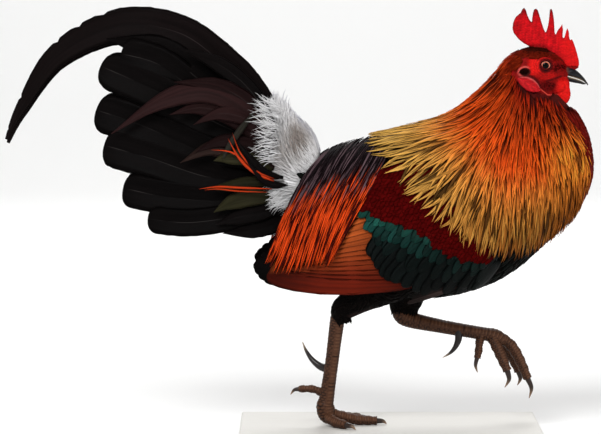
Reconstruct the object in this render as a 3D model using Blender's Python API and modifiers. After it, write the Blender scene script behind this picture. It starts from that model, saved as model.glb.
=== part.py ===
# A life-size red junglefowl cock, walking, on a plain display base.
# Frame: +X is forwards, +Z up, and the bird's right side faces -Y. The origin is
# the centre of the base's underside. Sizes are millimetres, times MM for Blender.
import math

import bmesh
import bpy
import numpy as np

MM = 0.001
GAP = 0.3
RIGHT, LEFT = -1, 1

# The display base
BASE_LENGTH, BASE_WIDTH, BASE_HEIGHT, BASE_BEVEL = 270, 150, 8, 2
FLOOR = BASE_HEIGHT + GAP

# Body sections from rump to bill, each a plane across the body that holds a dorsal
# point (x, z) and a ventral point (x, z), with the section's half width
BODY = np.array([
    (-59.5, 252, -71.5, 170, 33),
    (-35, 257.5, -48, 143, 46),
    (0, 267, -8, 124, 53),
    (32, 275.5, 45, 124.5, 55),
    (57, 286, 92, 137.5, 53),
    (74, 299, 130, 162.5, 47.5),
    (87, 311, 161, 192, 40.5),
    (97, 322, 178, 227, 33),
    (105, 332, 176, 262, 26),
    (112, 338.5, 165, 286, 20.5),
    (118.5, 343, 153, 298, 17),
    (127, 346.5, 152, 303, 16),
    (137, 346.5, 152.5, 307.5, 14.5),
    (146, 343, 153.5, 311, 11.5),
    (154, 337, 155, 313.5, 8),
    (158.3, 331, 157.5, 316.5, 5.2),
])
NECK_START, HEAD_START, BILL_START = 6.4, 10.0, 15.0

# The surface that wings, saddle and cape lie over: wider than the body behind
DRAPE = np.array([
    (-150, 246, -150, 60, 34),
    (-100, 250, -100, 65, 44),
    (-66, 253, -70, 70, 51),
    (-35, 260, -45, 80, 56),
    (0, 269, -8, 95, 59.5),
    (32, 277, 45, 112, 60),
    (57, 287, 92, 134, 56),
    (74, 300, 130, 162, 49.5),
    (87, 312, 161, 192, 42),
    (97, 323, 178, 227, 34.5),
    (105, 333, 176, 262, 27),
    (112, 339, 165, 286, 21),
    (118.5, 343.5, 153, 298, 17.5),
])

# Side-view guide lines (x, z) that the hackles follow, from the head to the tips
CAPE_GUIDES = [
    [(117, 344), (88, 313), (45, 283), (-18, 266)],
    [(113, 334), (88, 298), (48, 270), (-8, 243)],
    [(112, 324), (93, 281), (66, 236), (36, 190)],
    [(114, 314), (106, 266), (95, 212), (84, 160)],
    [(124, 307), (131, 262), (131, 214), (122, 163)],
    [(138, 303), (155, 268), (162, 228), (151, 182)],
    [(148, 301), (172, 272), (180, 240), (175, 208)],
]
# The same for the saddle hackles, from the back over the wing
SADDLE_GUIDES = [
    [(-57, 252), (-76, 232), (-95, 197), (-113, 155)],
    [(-36, 260), (-58, 234), (-78, 197), (-98, 146)],
    [(-12, 265), (-34, 238), (-52, 203), (-70, 150)],
    [(7, 266), (-8, 240), (-28, 204), (-54, 155)],
]

# Upper and lower edge of the folded wing in side view, front to back: x, top z, bottom z
WING_EDGES = np.array([
    (82, 203, 187),
    (70, 224, 162),
    (45, 241, 144),
    (15, 242, 136),
    (-18, 236, 132),
    (-45, 228, 130),
    (-72, 212, 130),
    (-96, 190, 134),
    (-112, 171, 143),
])
WING_DEPTH = 3.2
# Flight feathers and coverts of the folded wing: root, middle and tip in side view, lowest first
SECONDARIES = [
    [(22, 141), (-45, 130), (-104, 134)],
    [(16, 152), (-48, 140), (-114, 143)],
    [(11, 163), (-50, 152), (-115, 154)],
    [(5, 175), (-50, 165), (-107, 167)],
    [(-1, 188), (-46, 179), (-94, 181)],
]
PRIMARIES = [
    [(-60, 139), (-95, 141), (-127, 149)],
    [(-60, 151), (-95, 154), (-123, 160)],
]
# Rows of wing coverts: the line their tips lie on, how far each runs back and down, and their count
COVERT_ROWS = [
    ([(36, 135), (10, 142), (-10, 163), (-22, 196)], (-28, -9), 5),
    ([(54, 142), (30, 150), (8, 174), (-2, 208)], (-25, -9), 5),
]

# Tail root sections, as in BODY
TAIL_ROOT = np.array([
    (-60.2, 256, -72.2, 176, 29),
    (-67, 272, -92, 181, 27),
    (-79, 286, -106, 191, 22),
    (-92, 295, -117, 203, 17),
    (-104, 299, -122, 222, 13),
    (-112, 296, -123, 245, 8),
])
# Tail feathers in side view: root, middle and tip of the shaft, with the vane's width
RECTRICES = [
    ([(-104, 268), (-171, 318), (-207, 344), (-249, 352)], 30),
    ([(-103, 256), (-160, 281), (-210, 307), (-263, 329)], 36),
    ([(-101, 240), (-160, 250), (-222, 274), (-266, 289)], 38),
    ([(-99, 226), (-160, 228), (-215, 244), (-260, 256)], 37),
    ([(-98, 214), (-156, 206), (-205, 208), (-242, 215)], 34),
    ([(-99, 203), (-135, 192), (-180, 184), (-219, 188)], 28),
]
SICKLE = [(-98, 268), (-115, 300), (-148, 331), (-189, 361), (-243, 367),
          (-297, 339), (-331, 293), (-344, 265)]
COVERTS = [
    ([(-104, 262), (-130, 293), (-166, 306), (-202, 294), (-246, 271)], 18),
    ([(-104, 270), (-133, 305), (-158, 317), (-191, 318)], 16),
    ([(-104, 254), (-140, 284), (-171, 294), (-200, 284)], 16),
    ([(-106, 244), (-139, 246), (-166, 248), (-187, 242)], 18),
    ([(-103, 206), (-125, 211), (-142, 208), (-158, 204)], 16),
]

# Comb outline: points and the notches between them, from the rear lobe forwards
COMB_LOBE = [(128, 347), (124, 349), (116.5, 355), (112, 361), (111, 366.5), (112.5, 372),
             (115.5, 376.5), (118, 378.5)]
COMB_POINTS = [(119.5, 384), (130, 381), (143.8, 380.6), (154.2, 366.4), (158.7, 362.8), (163, 354.6)]
COMB_NOTCHES = [(127, 368.5), (139.6, 360), (147.6, 357.2), (155.3, 353.3), (160, 352.4)]
COMB_FRONT = [(167, 345.5), (169, 339.5), (169.4, 335), (168, 329), (162, 326), (150, 334), (138, 340)]
COMB_THICK = 3.6

# Upper and lower mandible: top (x, z), bottom (x, z), half width
UPPER_BILL = np.array([
    (158.9, 330.4, 158.2, 321.9, 4.7),
    (165, 328, 164, 320.3, 4.3),
    (170, 324, 169.5, 318.5, 3.4),
    (174.5, 319, 174, 316.3, 2.1),
    (177.7, 313.9, 177.0, 313.2, 0.5),
])
LOWER_BILL = np.array([
    (158.2, 321.4, 158.1, 317.0, 4.1),
    (164, 319.8, 164, 315.6, 3.6),
    (169.5, 318.0, 169.5, 314.7, 2.7),
    (173.3, 316.1, 173.0, 314.0, 1.5),
    (175.4, 314.9, 175.3, 314.2, 0.5),
])
EYE_PLACE, EYE_RADIUS, EYE_DEPTH = (138.2, 331.3), 6.0, 10.4

# Legs: path points (x, y, z) with a radius
THIGH_RIGHT = [(22, -26, 150, 25), (0, -27, 133, 20), (-25, -27.5, 119, 14.5), (-43.5, -26.5, 109, 9.5)]
THIGH_LEFT = [(24, 26, 148, 25), (18, 27, 128, 18), (14, 27.5, 112, 13.8), (13.5, 26.5, 104, 11.5)]
SHANK_RIGHT = [(-44.5, -26, 113, 6), (-46.8, -25.5, 108, 6.6), (-48.5, -24, 98, 5.6), (-52.5, -20.5, 66, 5.0),
               (-56.6, -17.8, 34, 5.5), (-56.8, -17.5, 26, 6.8), (-55.5, -17, 18, 7.4), (-53.5, -16.5, 12, 4.6)]
SHANK_LEFT = [(10, 26, 111, 6), (12, 26, 105, 7.4), (19, 25.5, 100, 6.4), (50, 23.5, 94, 5.2),
              (86, 22.3, 87.8, 5.5), (93, 22, 86.4, 6.6), (99.5, 22, 83.5, 7.0), (104, 22, 79.5, 4.6)]
TOES_RIGHT = {
    "hallux": [(-57, -15.5, 33, 3.2), (-62, -14, 38.5, 3.0), (-70, -13, 41.6, 2.8), (-82, -11.5, 41.5, 2.5)],
    "toe_2": [(-53, -14.5, 18, 3.8), (-47, -7, 15.5, 3.8), (-37, 3, 12.8, 3.5), (-27, 9, 11.8, 3.1)],
    "toe_3": [(-51, -17, 18, 4.2), (-43, -16, 15.6, 4.3), (-29, -15, 12.8, 3.8), (-12, -14, 11.8, 3.2)],
    "toe_4": [(-56, -20, 18, 3.9), (-54.5, -28, 15.2, 3.9), (-49, -38, 12.8, 3.6), (-42, -48, 11.8, 3.1)],
}
TOES_LEFT = {
    "hallux": [(84, 20.5, 87, 3.1), (82, 18.5, 79.5, 3.0), (81, 17, 71, 2.8), (79.8, 16, 65, 2.6)],
    "toe_2": [(94, 19, 82, 3.9), (99, 15, 72, 4.0), (103, 13, 63, 3.7), (107, 11, 54, 3.2)],
    "toe_3": [(98, 22, 86, 4.2), (112, 22, 77, 4.2), (121, 22, 62, 3.8), (127, 22, 46, 3.1)],
    "toe_4": [(97, 25, 82, 3.9), (105, 31, 73, 3.9), (111.5, 34, 62, 3.6), (116.5, 35.5, 53, 3.1)],
}
# Claws go on from the toe's end: path points, the last one the tip
CLAWS_RIGHT = {
    "hallux": [(-86, -11, 40.6), (-89.5, -10.5, 36.5)],
    "toe_2": [(-22, 11.8, 11.4), (-18.5, 13.6, 8.9)],
    "toe_3": [(-6.5, -13.8, 11.4), (-3.0, -13.6, 8.9)],
    "toe_4": [(-37.5, -53.6, 11.4), (-34.5, -57.4, 8.9)],
}
CLAWS_LEFT = {
    "hallux": [(77.8, 15.6, 59.5), (79.2, 15.2, 54)],
    "toe_2": [(108.5, 10.2, 46.5), (104.6, 9.4, 39)],
    "toe_3": [(129.3, 22, 38), (126, 22, 29)],
    "toe_4": [(118.5, 36, 46), (115.6, 36.4, 40.5)],
}
SPUR_RIGHT = [(-56, -16, 59, 3.8), (-63, -12, 61, 3.3), (-70, -9, 66.5, 2.4), (-75.5, -7, 74.5, 1.4), (-78.8, -6, 82.5, 0.3)]
SPUR_LEFT = [(62.5, 21, 90, 3.8), (63, 18.5, 83, 3.3), (60.5, 16.5, 76, 2.4), (55.5, 15, 70, 1.4), (48.5, 14, 65.7, 0.3)]

COLOURS = {
    "black_plumage": ((0.012, 0.013, 0.012), 0.5, 0.0),
    "hackle": ((0.55, 0.16, 0.02), 0.45, 0.0),
    "saddle": ((0.42, 0.06, 0.012), 0.42, 0.0),
    "wing": ((0.30, 0.07, 0.02), 0.45, 0.0),
    "down": ((0.62, 0.62, 0.64), 0.9, 0.0),
    "tail": ((0.010, 0.011, 0.012), 0.35, 0.0),
    "bare_skin": ((0.62, 0.02, 0.02), 0.55, 0.0),
    "bill_horn": ((0.05, 0.045, 0.045), 0.3, 0.0),
    "leg_scale": ((0.11, 0.065, 0.05), 0.5, 0.0),
    "claw_horn": ((0.09, 0.06, 0.045), 0.3, 0.0),
    "eye": ((0.02, 0.012, 0.01), 0.05, 0.0),
    "base_board": ((0.72, 0.70, 0.66), 0.5, 0.0),
}


# Catmull-Rom curve through the rows of a table, read at row numbers s
def spline(table, s):
    table = np.asarray(table, float)
    last = len(table) - 1
    s = np.clip(np.asarray(s, float), 0, last)
    i = np.minimum(s.astype(int), last - 1)
    t = (s - i).reshape(s.shape + (1,) * (table.ndim - 1))
    a, b, c, d = (table[np.clip(i + k, 0, last)] for k in (-1, 0, 1, 2))
    return 0.5 * (2 * b + (c - a) * t + (2 * a - 5 * b + 4 * c - d) * t**2 + (3 * b - a - 3 * c + d) * t**3)


# count points evenly numbered along the curve through the rows
def along(rows, count):
    return spline(rows, np.linspace(0, len(rows) - 1, count))


def unit(v):
    return v / np.maximum(np.linalg.norm(v, axis=-1, keepdims=True), 1e-9)


# Point on a hull at station s and angle phi, 0 at the back's midline and pi at the belly's
def hull_skin(hull, s, phi, side):
    dx, dz, vx, vz, w = np.moveaxis(spline(hull, s), -1, 0)
    c = np.cos(phi)
    return np.stack([(dx + vx) / 2 + (dx - vx) / 2 * c, side * w * np.sin(phi), (dz + vz) / 2 + (dz - vz) / 2 * c], -1)


def hull_normal(hull, s, phi, side):
    step = 1e-3
    s = np.clip(s, step, len(hull) - 1 - step)
    lengthwise = hull_skin(hull, s + step, phi, side) - hull_skin(hull, s - step, phi, side)
    crosswise = hull_skin(hull, s, phi + step, side) - hull_skin(hull, s, phi - step, side)
    n = unit(np.cross(lengthwise, crosswise))
    middle = (hull_skin(hull, s, 0 * phi, side) + hull_skin(hull, s, 0 * phi + math.pi, side)) / 2
    outwards = np.sum(n * (hull_skin(hull, s, phi, side) - middle), -1, keepdims=True)
    return np.where(outwards < 0, -n, n)


# Point at height h over the hull
def hull_point(hull, s, phi, side, h=0.0):
    s, phi, h = np.broadcast_arrays(np.asarray(s, float), phi, h)
    return hull_skin(hull, s, phi, side) + hull_normal(hull, s, phi, side) * h[..., None]


# Station and angle of the hull point that shows at (x, z) from the side
def locate(hull, x, z):
    x, z = np.broadcast_arrays(np.asarray(x, float), np.asarray(z, float))
    low, high = np.zeros(x.shape), np.full(x.shape, len(hull) - 1.0)
    for _ in range(40):
        s = (low + high) / 2
        dx, dz, vx, vz, _w = np.moveaxis(spline(hull, s), -1, 0)
        behind = (dx - vx) * (z - vz) - (dz - vz) * (x - vx) > 0
        high, low = np.where(behind, s, high), np.where(behind, low, s)
    ax, az = (dx - vx) / 2, (dz - vz) / 2
    u = ((x - (dx + vx) / 2) * ax + (z - (dz + vz) / 2) * az) / (ax**2 + az**2)
    return s, np.arccos(np.clip(u, -0.9995, 0.9995))


# Guide lines given in side view become (station, angle) curves on the hull
class Drape:
    def __init__(self, hull, guides):
        guides = np.array(guides, float)
        s, phi = locate(hull, guides[..., 0], guides[..., 1])
        self.hull, self.table = hull, np.stack([s, phi], -1)

    # across runs over the guides and down along them, each from 0 to 1
    def point(self, across, down, side, h):
        across, down, h = np.broadcast_arrays(np.asarray(across, float), down, h)
        lines, steps = self.table.shape[:2]
        columns = spline(self.table, across.ravel() * (lines - 1))
        where = down.ravel() * (steps - 1)
        place = np.array([spline(column, w) for column, w in zip(columns, where)])
        s, phi = place.reshape(across.shape + (2,))[..., 0], place.reshape(across.shape + (2,))[..., 1]
        return hull_point(self.hull, s, phi, side, h)


def material(name):
    found = bpy.data.materials.get(name)
    if found:
        return found
    colour, roughness, metallic = COLOURS[name]
    made = bpy.data.materials.new(name)
    made.use_nodes = True
    shader = made.node_tree.nodes["Principled BSDF"]
    shader.inputs["Base Color"].default_value = (*colour, 1)
    shader.inputs["Roughness"].default_value = roughness
    shader.inputs["Metallic"].default_value = metallic
    return made


# A mesh object from points in millimetres; its faces are turned outwards
def solid(name, points, faces, finish, collection):
    mesh = bpy.data.meshes.new(name)
    mesh.from_pydata([tuple(p) for p in np.asarray(points, float) * MM], [], [tuple(map(int, f)) for f in faces])
    shaped = bmesh.new()
    shaped.from_mesh(mesh)
    if shaped.calc_volume(signed=True) < 0:
        bmesh.ops.reverse_faces(shaped, faces=shaped.faces[:])
    shaped.to_mesh(mesh)
    shaped.free()
    mesh.shade_smooth()
    mesh.set_sharp_from_angle(angle=math.radians(35))
    mesh.materials.append(material(finish))
    made = bpy.data.objects.new(name, mesh)
    collection.objects.link(made)
    return made


# Closed loft over rings of points, each end closed by a fan round its middle
def loft(rings):
    rings = np.asarray(rings, float)
    count, around = rings.shape[:2]
    index = np.arange(count * around).reshape(count, around)
    turned = np.roll(index, -1, 1)
    faces = [f for a, b, c, d in zip(index[:-1].ravel(), turned[:-1].ravel(), turned[1:].ravel(), index[1:].ravel())
             for f in ((a, b, c), (a, c, d))]
    ends = [count * around, count * around + 1]
    faces += [(index[0, (j + 1) % around], index[0, j], ends[0]) for j in range(around)]
    faces += [(index[-1, j], index[-1, (j + 1) % around], ends[1]) for j in range(around)]
    return np.vstack([rings.reshape(-1, 3), rings[0].mean(0), rings[-1].mean(0)]), faces


# Closed slab between two grids of points, split into triangles alike on both faces
def slab(inner, outer):
    rows, columns = inner.shape[:2]
    index = np.arange(rows * columns).reshape(rows, columns)
    a, b, c, d = (q.ravel() for q in (index[:-1, :-1], index[1:, :-1], index[1:, 1:], index[:-1, 1:]))
    upper = np.concatenate([np.stack([a, b, c], 1), np.stack([a, c, d], 1)])
    rim = np.concatenate([index[:, 0], index[-1, 1:], index[-2::-1, -1], index[0, -2:0:-1]])
    rise = rows * columns
    sides = [f for p, q in zip(rim, np.roll(rim, -1)) for f in ((p, p + rise, q + rise), (p, q + rise, q))]
    faces = np.concatenate([upper, upper[:, ::-1] + rise, np.array(sides)])
    return np.vstack([outer.reshape(-1, 3), inner.reshape(-1, 3)]), faces


# Full sections of a hull between two stations
def hull_rings(hull, start, end, count, around, h=0.0):
    s = np.linspace(start, end, count)[:, None]
    phi = np.linspace(0, 2 * math.pi, around, endpoint=False)[None, :]
    return hull_point(hull, s, phi, RIGHT, h)


# Round sections along a path of (x, y, z, radius) rows, kept above the floor level
def tube_rings(rows, count, around, floor=None, flatten=1.0):
    path = along(rows, count)
    centre, radius = path[:, :3], path[:, 3]
    tangent = unit(np.gradient(centre, axis=0))
    chord = centre[-1] - centre[0]
    upright = abs(chord[2]) > 0.7 * np.linalg.norm(chord)
    across = unit(np.cross(tangent, (1.0, 0.0, 0.0) if upright else (0.0, 0.0, 1.0)))
    upwards = np.cross(across, tangent)
    angle = np.linspace(0, 2 * math.pi, around, endpoint=False)
    ring = (centre[:, None] + radius[:, None, None] * flatten * np.cos(angle)[None, :, None] * across[:, None]
            + radius[:, None, None] * np.sin(angle)[None, :, None] * upwards[:, None])
    if floor is not None:
        ring[..., 2] = np.maximum(ring[..., 2], floor)
    return ring


# Lens-shaped lobe, such as a wattle, turned in the side view
def lobe(centre, half, tilt, segments=12, rings=6):
    made = bmesh.new()
    bmesh.ops.create_uvsphere(made, u_segments=segments, v_segments=rings, radius=1)
    points = np.array([v.co for v in made.verts])
    faces = [[v.index for v in f.verts] for f in made.faces]
    made.free()
    points = points[:, [0, 2, 1]] * np.array(half)
    c, s = math.cos(math.radians(tilt)), math.sin(math.radians(tilt))
    turned = np.stack([points[:, 0] * c - points[:, 2] * s, points[:, 1], points[:, 0] * s + points[:, 2] * c], -1)
    return turned + np.array(centre), faces


# Runs one Boolean on an object and keeps the largest closed surface of the result
def boolean(target, operation, others, solver="MANIFOLD"):
    helper = bpy.data.collections.new("operands")
    bpy.context.scene.collection.children.link(helper)
    for other in others:
        for owner in list(other.users_collection):
            owner.objects.unlink(other)
        helper.objects.link(other)
        other.hide_render = True
    change = target.modifiers.new("change", "BOOLEAN")
    change.operation, change.operand_type, change.collection, change.solver = operation, "COLLECTION", helper, solver
    graph = bpy.context.evaluated_depsgraph_get()
    mesh = bpy.data.meshes.new_from_object(target.evaluated_get(graph))
    target.modifiers.remove(change)
    target.data = largest_surface(mesh)
    for other in others:
        bpy.data.objects.remove(other)
    bpy.data.collections.remove(helper)
    return target


def largest_surface(mesh):
    shaped = bmesh.new()
    shaped.from_mesh(mesh)
    bmesh.ops.triangulate(shaped, faces=shaped.faces[:])
    left, groups = set(shaped.faces), []
    while left:
        group, edge_of = set(), [left.pop()]
        while edge_of:
            face = edge_of.pop()
            group.add(face)
            near = {f for e in face.edges if len(e.link_faces) == 2 for f in e.link_faces if f in left}
            left -= near
            edge_of += near
        groups.append(group)
    if not groups:
        raise ValueError(f"nothing is left of {mesh.name}")
    keep = max(groups, key=lambda g: sum(f.calc_area() for f in g))
    bmesh.ops.delete(shaped, geom=[f for g in groups if g is not keep for f in g], context="FACES")
    loose = [v for v in shaped.verts if not v.link_faces]
    bmesh.ops.delete(shaped, geom=loose, context="VERTS")
    shaped.to_mesh(mesh)
    shaped.free()
    mesh.shade_smooth()
    mesh.set_sharp_from_angle(angle=math.radians(35))
    return mesh


# Copy of an object grown outwards by the gap, to cut a neighbour clear of it
def grown(source, by=GAP):
    copy = source.copy()
    copy.data = source.data.copy()
    shaped = bmesh.new()
    shaped.from_mesh(copy.data)
    shaped.normal_update()
    for v in shaped.verts:
        v.co += v.normal * by * 1.15 * MM
    shaped.to_mesh(copy.data)
    shaped.free()
    bpy.context.scene.collection.objects.link(copy)
    return copy


def clear_of(target, *neighbours, by=GAP, solver="MANIFOLD"):
    for neighbour in neighbours:
        boolean(target, "DIFFERENCE", [grown(neighbour, by)], solver)
    return target


def smoothstep(low, high, x):
    t = np.clip((x - low) / (high - low), 0, 1)
    return t * t * (3 - 2 * t)


# Height of the cape's outer face over the drape, and its thickness: it steps up over the wing
def cape_face(across, down):
    over_wing = smoothstep(0.06, 0.2, across) * (1 - smoothstep(0.62, 0.78, across)) * smoothstep(0.42, 0.72, down)
    return 0.8 + 6.2 * over_wing, 6.5 - 4.9 * over_wing


# The same for the saddle, whose roots lie on the back
def saddle_face(across, down):
    step = smoothstep(0.1, 0.4, down)
    return 1.8 + 5.2 * step, 1.6 + 0 * step


# A sheet that the hackles of a cape or saddle grow from
def under_sheet(cover, face, side, steps, ends, below=0.0, above=0.0):
    across, down = np.meshgrid(np.linspace(0, 1, steps[0]), np.linspace(*ends, steps[1]), indexing="ij")
    high, thick = face(across, down)
    return slab(cover.point(across, down, side, high - thick - below), cover.point(across, down, side, high + above))


# One of count pointed hackles side by side, which leaves the sheet and lifts towards its tip.
# It is a little wider than its share of the cover, so that it overlaps its neighbours
def hackle(cover, face, side, across, count, root, tip, roll):
    t = np.array((0, 0.3, 0.65, 1))
    down = root + (tip - root) * t
    height = face(across, down)[0] + np.array((-1.0, 1.3, 2.1, 2.9))
    path = cover.point(across, down, side, height)
    normals = cover.point(across, down, side, height + 1) - path
    share = np.linalg.norm(cover.point(across + 0.02, down, side, height) - cover.point(across - 0.02, down, side, height), axis=1)
    widths = share / 0.04 / count * 1.12 * np.array((0.8, 1.0, 0.95, 0.07))
    return feather(path, rolled(path, normals, roll * side), widths, 0.7, 2, 0)


# Normals turned about the path, so that each vane's one edge lies over its neighbour's
def rolled(path, normals, degrees):
    tangent = unit(np.gradient(path, axis=0))
    across = unit(np.cross(tangent, normals))
    angle = math.radians(degrees)
    return unit(normals) * math.cos(angle) + across * math.sin(angle)


# A vane laid on the drape along side-view points, at heights from root to tip
def wing_vane(side, rows, width, heights, shape, roll):
    t = np.array((0, 0.4, 0.8, 1))
    flat = spline(rows, t * (len(rows) - 1))
    s, phi = locate(DRAPE, flat[:, 0], flat[:, 1])
    height = heights[0] + (heights[1] - heights[0]) * t**1.4
    path = hull_point(DRAPE, s, phi, side, height)
    normals = hull_point(DRAPE, s, phi, side, height + 1) - path
    return feather(path, rolled(path, normals, roll * side), width * np.array(shape), 0.7, 2, 0)


def make_body(parts):
    torso = solid("torso", *loft(hull_rings(BODY, 0, NECK_START, 11, 18)), "black_plumage", parts)
    head = solid("head", *loft(hull_rings(BODY, HEAD_START + 0.03, BILL_START, 8, 16)), "bare_skin", parts)
    root = solid("tail_root", *loft(hull_rings(TAIL_ROOT, 0, len(TAIL_ROOT) - 1, 7, 16)), "down", parts)
    return torso, head, root


# Rows of hackles: where their roots and tips lie down the guides, and how many there are
CAPE_ROWS = ((0.62, 1.0, 9), (0.37, 0.77, 6), (0.1, 0.5, 4))
SADDLE_ROWS = ((0.55, 1.0, 5), (0.2, 0.7, 5))


def make_hackles(parts, cover, face, rows, side, finish):
    made = []
    for k, (root, tip, count) in enumerate(rows):
        for j in range(count):
            across = (j + 0.35 + 0.3 * (k % 2)) / count
            reach = tip + 0.02 * math.sin(2.1 * j + k)
            made.append(solid("hackle", *hackle(cover, face, side, across, count, root, reach, 5.0), finish, parts))
    return made


def make_neck(parts, torso):
    neck = solid("neck", *loft(hull_rings(BODY, NECK_START + 0.03, HEAD_START, 6, 16)), "hackle", parts)
    cape = Drape(DRAPE, CAPE_GUIDES)
    pieces = [solid("cape", *under_sheet(cape, cape_face, side, *CAPE_GRID), "hackle", parts)
              for side in (RIGHT, LEFT)]
    for side in (RIGHT, LEFT):
        pieces += make_hackles(parts, cape, cape_face, CAPE_ROWS, side, "hackle")
    boolean(neck, "UNION", pieces)
    return clear_of(neck, torso)


# Grid of each under sheet: points across and down, and how far down the guides it runs
CAPE_GRID = ((7, 8), (0.03, 0.87))
SADDLE_GRID = ((5, 6), (0.0, 0.85))


# Cutters that clear the space of a cape or saddle, and of its loose tips, from the layers under it
def rooms(parts, side, *covers):
    made = []
    for guides, face, grid in covers:
        cover = Drape(DRAPE, guides)
        for steps, ends in (grid, ((grid[0][0], 5), (grid[1][1] - 0.1, 1.06))):
            shape = under_sheet(cover, face, side, steps, ends, below=0.4, above=9.0)
            made.append(solid("room", *shape, "hackle", parts))
    return made


def make_saddle(parts, name, side, *under):
    cover = Drape(DRAPE, SADDLE_GUIDES)
    saddle = solid(name, *under_sheet(cover, saddle_face, side, *SADDLE_GRID), "saddle", parts)
    pieces = make_hackles(parts, cover, saddle_face, SADDLE_ROWS, side, "saddle")
    boolean(saddle, "UNION", pieces)
    for room in rooms(parts, side, (CAPE_GUIDES, cape_face, CAPE_GRID)):
        boolean(saddle, "DIFFERENCE", [room])
    return clear_of(saddle, *under)


def wing_slab(side, inner, outer, count=10, rows_up=7):
    rows = along(WING_EDGES, count)
    up = np.linspace(0, 1, rows_up)[None, :]
    x = rows[:, :1] + 0 * up
    z = rows[:, 2:] + (rows[:, 1:2] - rows[:, 2:]) * up
    s, phi = locate(DRAPE, x, z)
    rim = np.minimum(np.sin(math.pi * up) * 2.2, 1) * smoothstep(-0.02, 0.15, np.linspace(0, 1, count))[:, None]
    return slab(hull_point(DRAPE, s, phi, side, inner), hull_point(DRAPE, s, phi, side, 1.0 + (outer - 1.0) * rim))


SECONDARY_SHAPE = (0.5, 0.9, 1.0, 0.3)
PRIMARY_SHAPE = (0.7, 1.0, 0.8, 0.15)
COVERT_SHAPE = (0.5, 0.9, 1.0, 0.35)


def make_wing(parts, name, side, *under):
    wing = solid(name, *wing_slab(side, 0.2, WING_DEPTH), "wing", parts)
    pieces = []
    for rows in PRIMARIES:
        pieces.append(solid("primary", *wing_vane(side, rows, 12, (0.9, 1.1), PRIMARY_SHAPE, 6), "wing", parts))
    for rows in SECONDARIES:
        vane = wing_vane(side, rows, 14, (WING_DEPTH - 1.0, WING_DEPTH + 0.5), SECONDARY_SHAPE, 6)
        pieces.append(solid("secondary", *vane, "wing", parts))
    for level, (line, run, count) in enumerate(COVERT_ROWS):
        for x, z in along(line, count):
            rows = [(x - run[0] * (1 - f), z - run[1] * (1 - f)) for f in (0, 0.5, 1)]
            vane = wing_vane(side, rows, 14.5, (WING_DEPTH - 0.8, WING_DEPTH + 1.6), COVERT_SHAPE, 4)
            pieces.append(solid("covert", *vane, "wing", parts))
    boolean(wing, "UNION", pieces)
    for room in rooms(parts, side, (CAPE_GUIDES, cape_face, CAPE_GRID), (SADDLE_GUIDES, saddle_face, SADDLE_GRID)):
        boolean(wing, "DIFFERENCE", [room])
    return clear_of(wing, *under)


# One feather: columns points across, cupped and ridged, with a blunt or a pointed end
def feather(path, normals, widths, thick, columns=3, crown=0.5):
    tangent = unit(np.gradient(path, axis=0))
    across = unit(np.cross(tangent, normals))
    upwards = np.cross(across, tangent)
    c = np.linspace(-1, 1, columns)[None, :, None]
    thick = np.broadcast_to(thick, widths.shape)[:, None, None]
    under = path[:, None] + across[:, None] * c * widths[:, None, None] / 2
    over = under + upwards[:, None] * thick * (1 + crown * (1 - np.abs(c)))
    return slab(under, over)


def blunt(t, root=0.22):
    rise = root + (1 - root) * smoothstep(0.0, 0.45, t)
    return rise * np.sqrt(np.clip(1 - np.clip((t - 0.86) / 0.145, 0, 1) ** 2, 0, 1))


def tapered(t, root=0.35):
    return (root + (1 - root) * smoothstep(0, 0.3, t)) * (1 - smoothstep(0.45, 1.06, t))


# A feather that stands in the tail's upright plane, at a distance from the midline
def tail_feather(rows, width, side, depths, shape, thick, stations):
    t = np.array(stations)
    flat = spline(rows, t * (len(rows) - 1))
    depth = depths[0] + (depths[1] - depths[0]) * t
    path = np.stack([flat[:, 0], side * depth, flat[:, 1]], -1)
    normals = np.tile((0.0, float(side), 0.0), (len(t), 1))
    return feather(path, normals, width * shape(t), thick)


BLUNT_STATIONS = (0, 0.3, 0.6, 0.85, 0.95, 1.0)
TAPER_STATIONS = (0, 0.25, 0.5, 0.75, 1.0)


def make_tail(parts, root):
    made = []
    for name, side in (("right", RIGHT), ("left", LEFT)):
        block = solid(f"tail_fan_{name}", *lobe((-108, side * 14, 232), (16, 9, 38), 18), "tail", parts)
        fan = []
        for k, (rows, width) in enumerate(RECTRICES):
            depth = 7.5 + 2.4 * k
            points, faces = tail_feather(rows, width, side, (depth, depth + 5), blunt, 0.8, BLUNT_STATIONS)
            fan.append(solid("rectrix", points, faces, "tail", parts))
        boolean(block, "UNION", fan)
        made.append(clear_of(block, root))
        rows = np.array(SICKLE, float)
        if side == LEFT:
            rows[:, 1] -= np.linspace(0, 9, len(rows))
        t = np.linspace(0, 1, 15)
        width = 33 * (0.3 + 0.7 * smoothstep(0, 0.3, t)) * (1 - smoothstep(0.5, 1.05, t) * 0.93)
        flat = spline(rows, t * (len(rows) - 1))
        path = np.stack([flat[:, 0], side * (2.2 + 6 * t), flat[:, 1]], -1)
        normals = np.tile((0.0, float(side), 0.0), (15, 1))
        sickle = solid(f"sickle_{name}", *feather(path[:8], normals[:8], width[:8], 1.0), "tail", parts)
        made.append(clear_of(sickle, root))
        near, far = path[7], path[8]
        path[7] = near + unit(far - near) * GAP
        clear_of(solid(f"sickle_tip_{name}", *feather(path[7:], normals[7:], width[7:], 1.0), "tail", parts), sickle)
        block = solid(f"tail_coverts_{name}", *lobe((-110, side * 21.5, 238), (9, 3.2, 36), 18), "tail", parts)
        small = []
        for k, (rows, width) in enumerate(COVERTS):
            depth = 20.5 + 1.3 * (k % 3)
            points, faces = tail_feather(rows, width, side, (depth, depth + 3), tapered, 0.7, TAPER_STATIONS)
            small.append(solid("covert", points, faces, "tail", parts))
        boolean(block, "UNION", small)
        made.append(clear_of(block, root, made[-2]))
    return made


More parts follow.
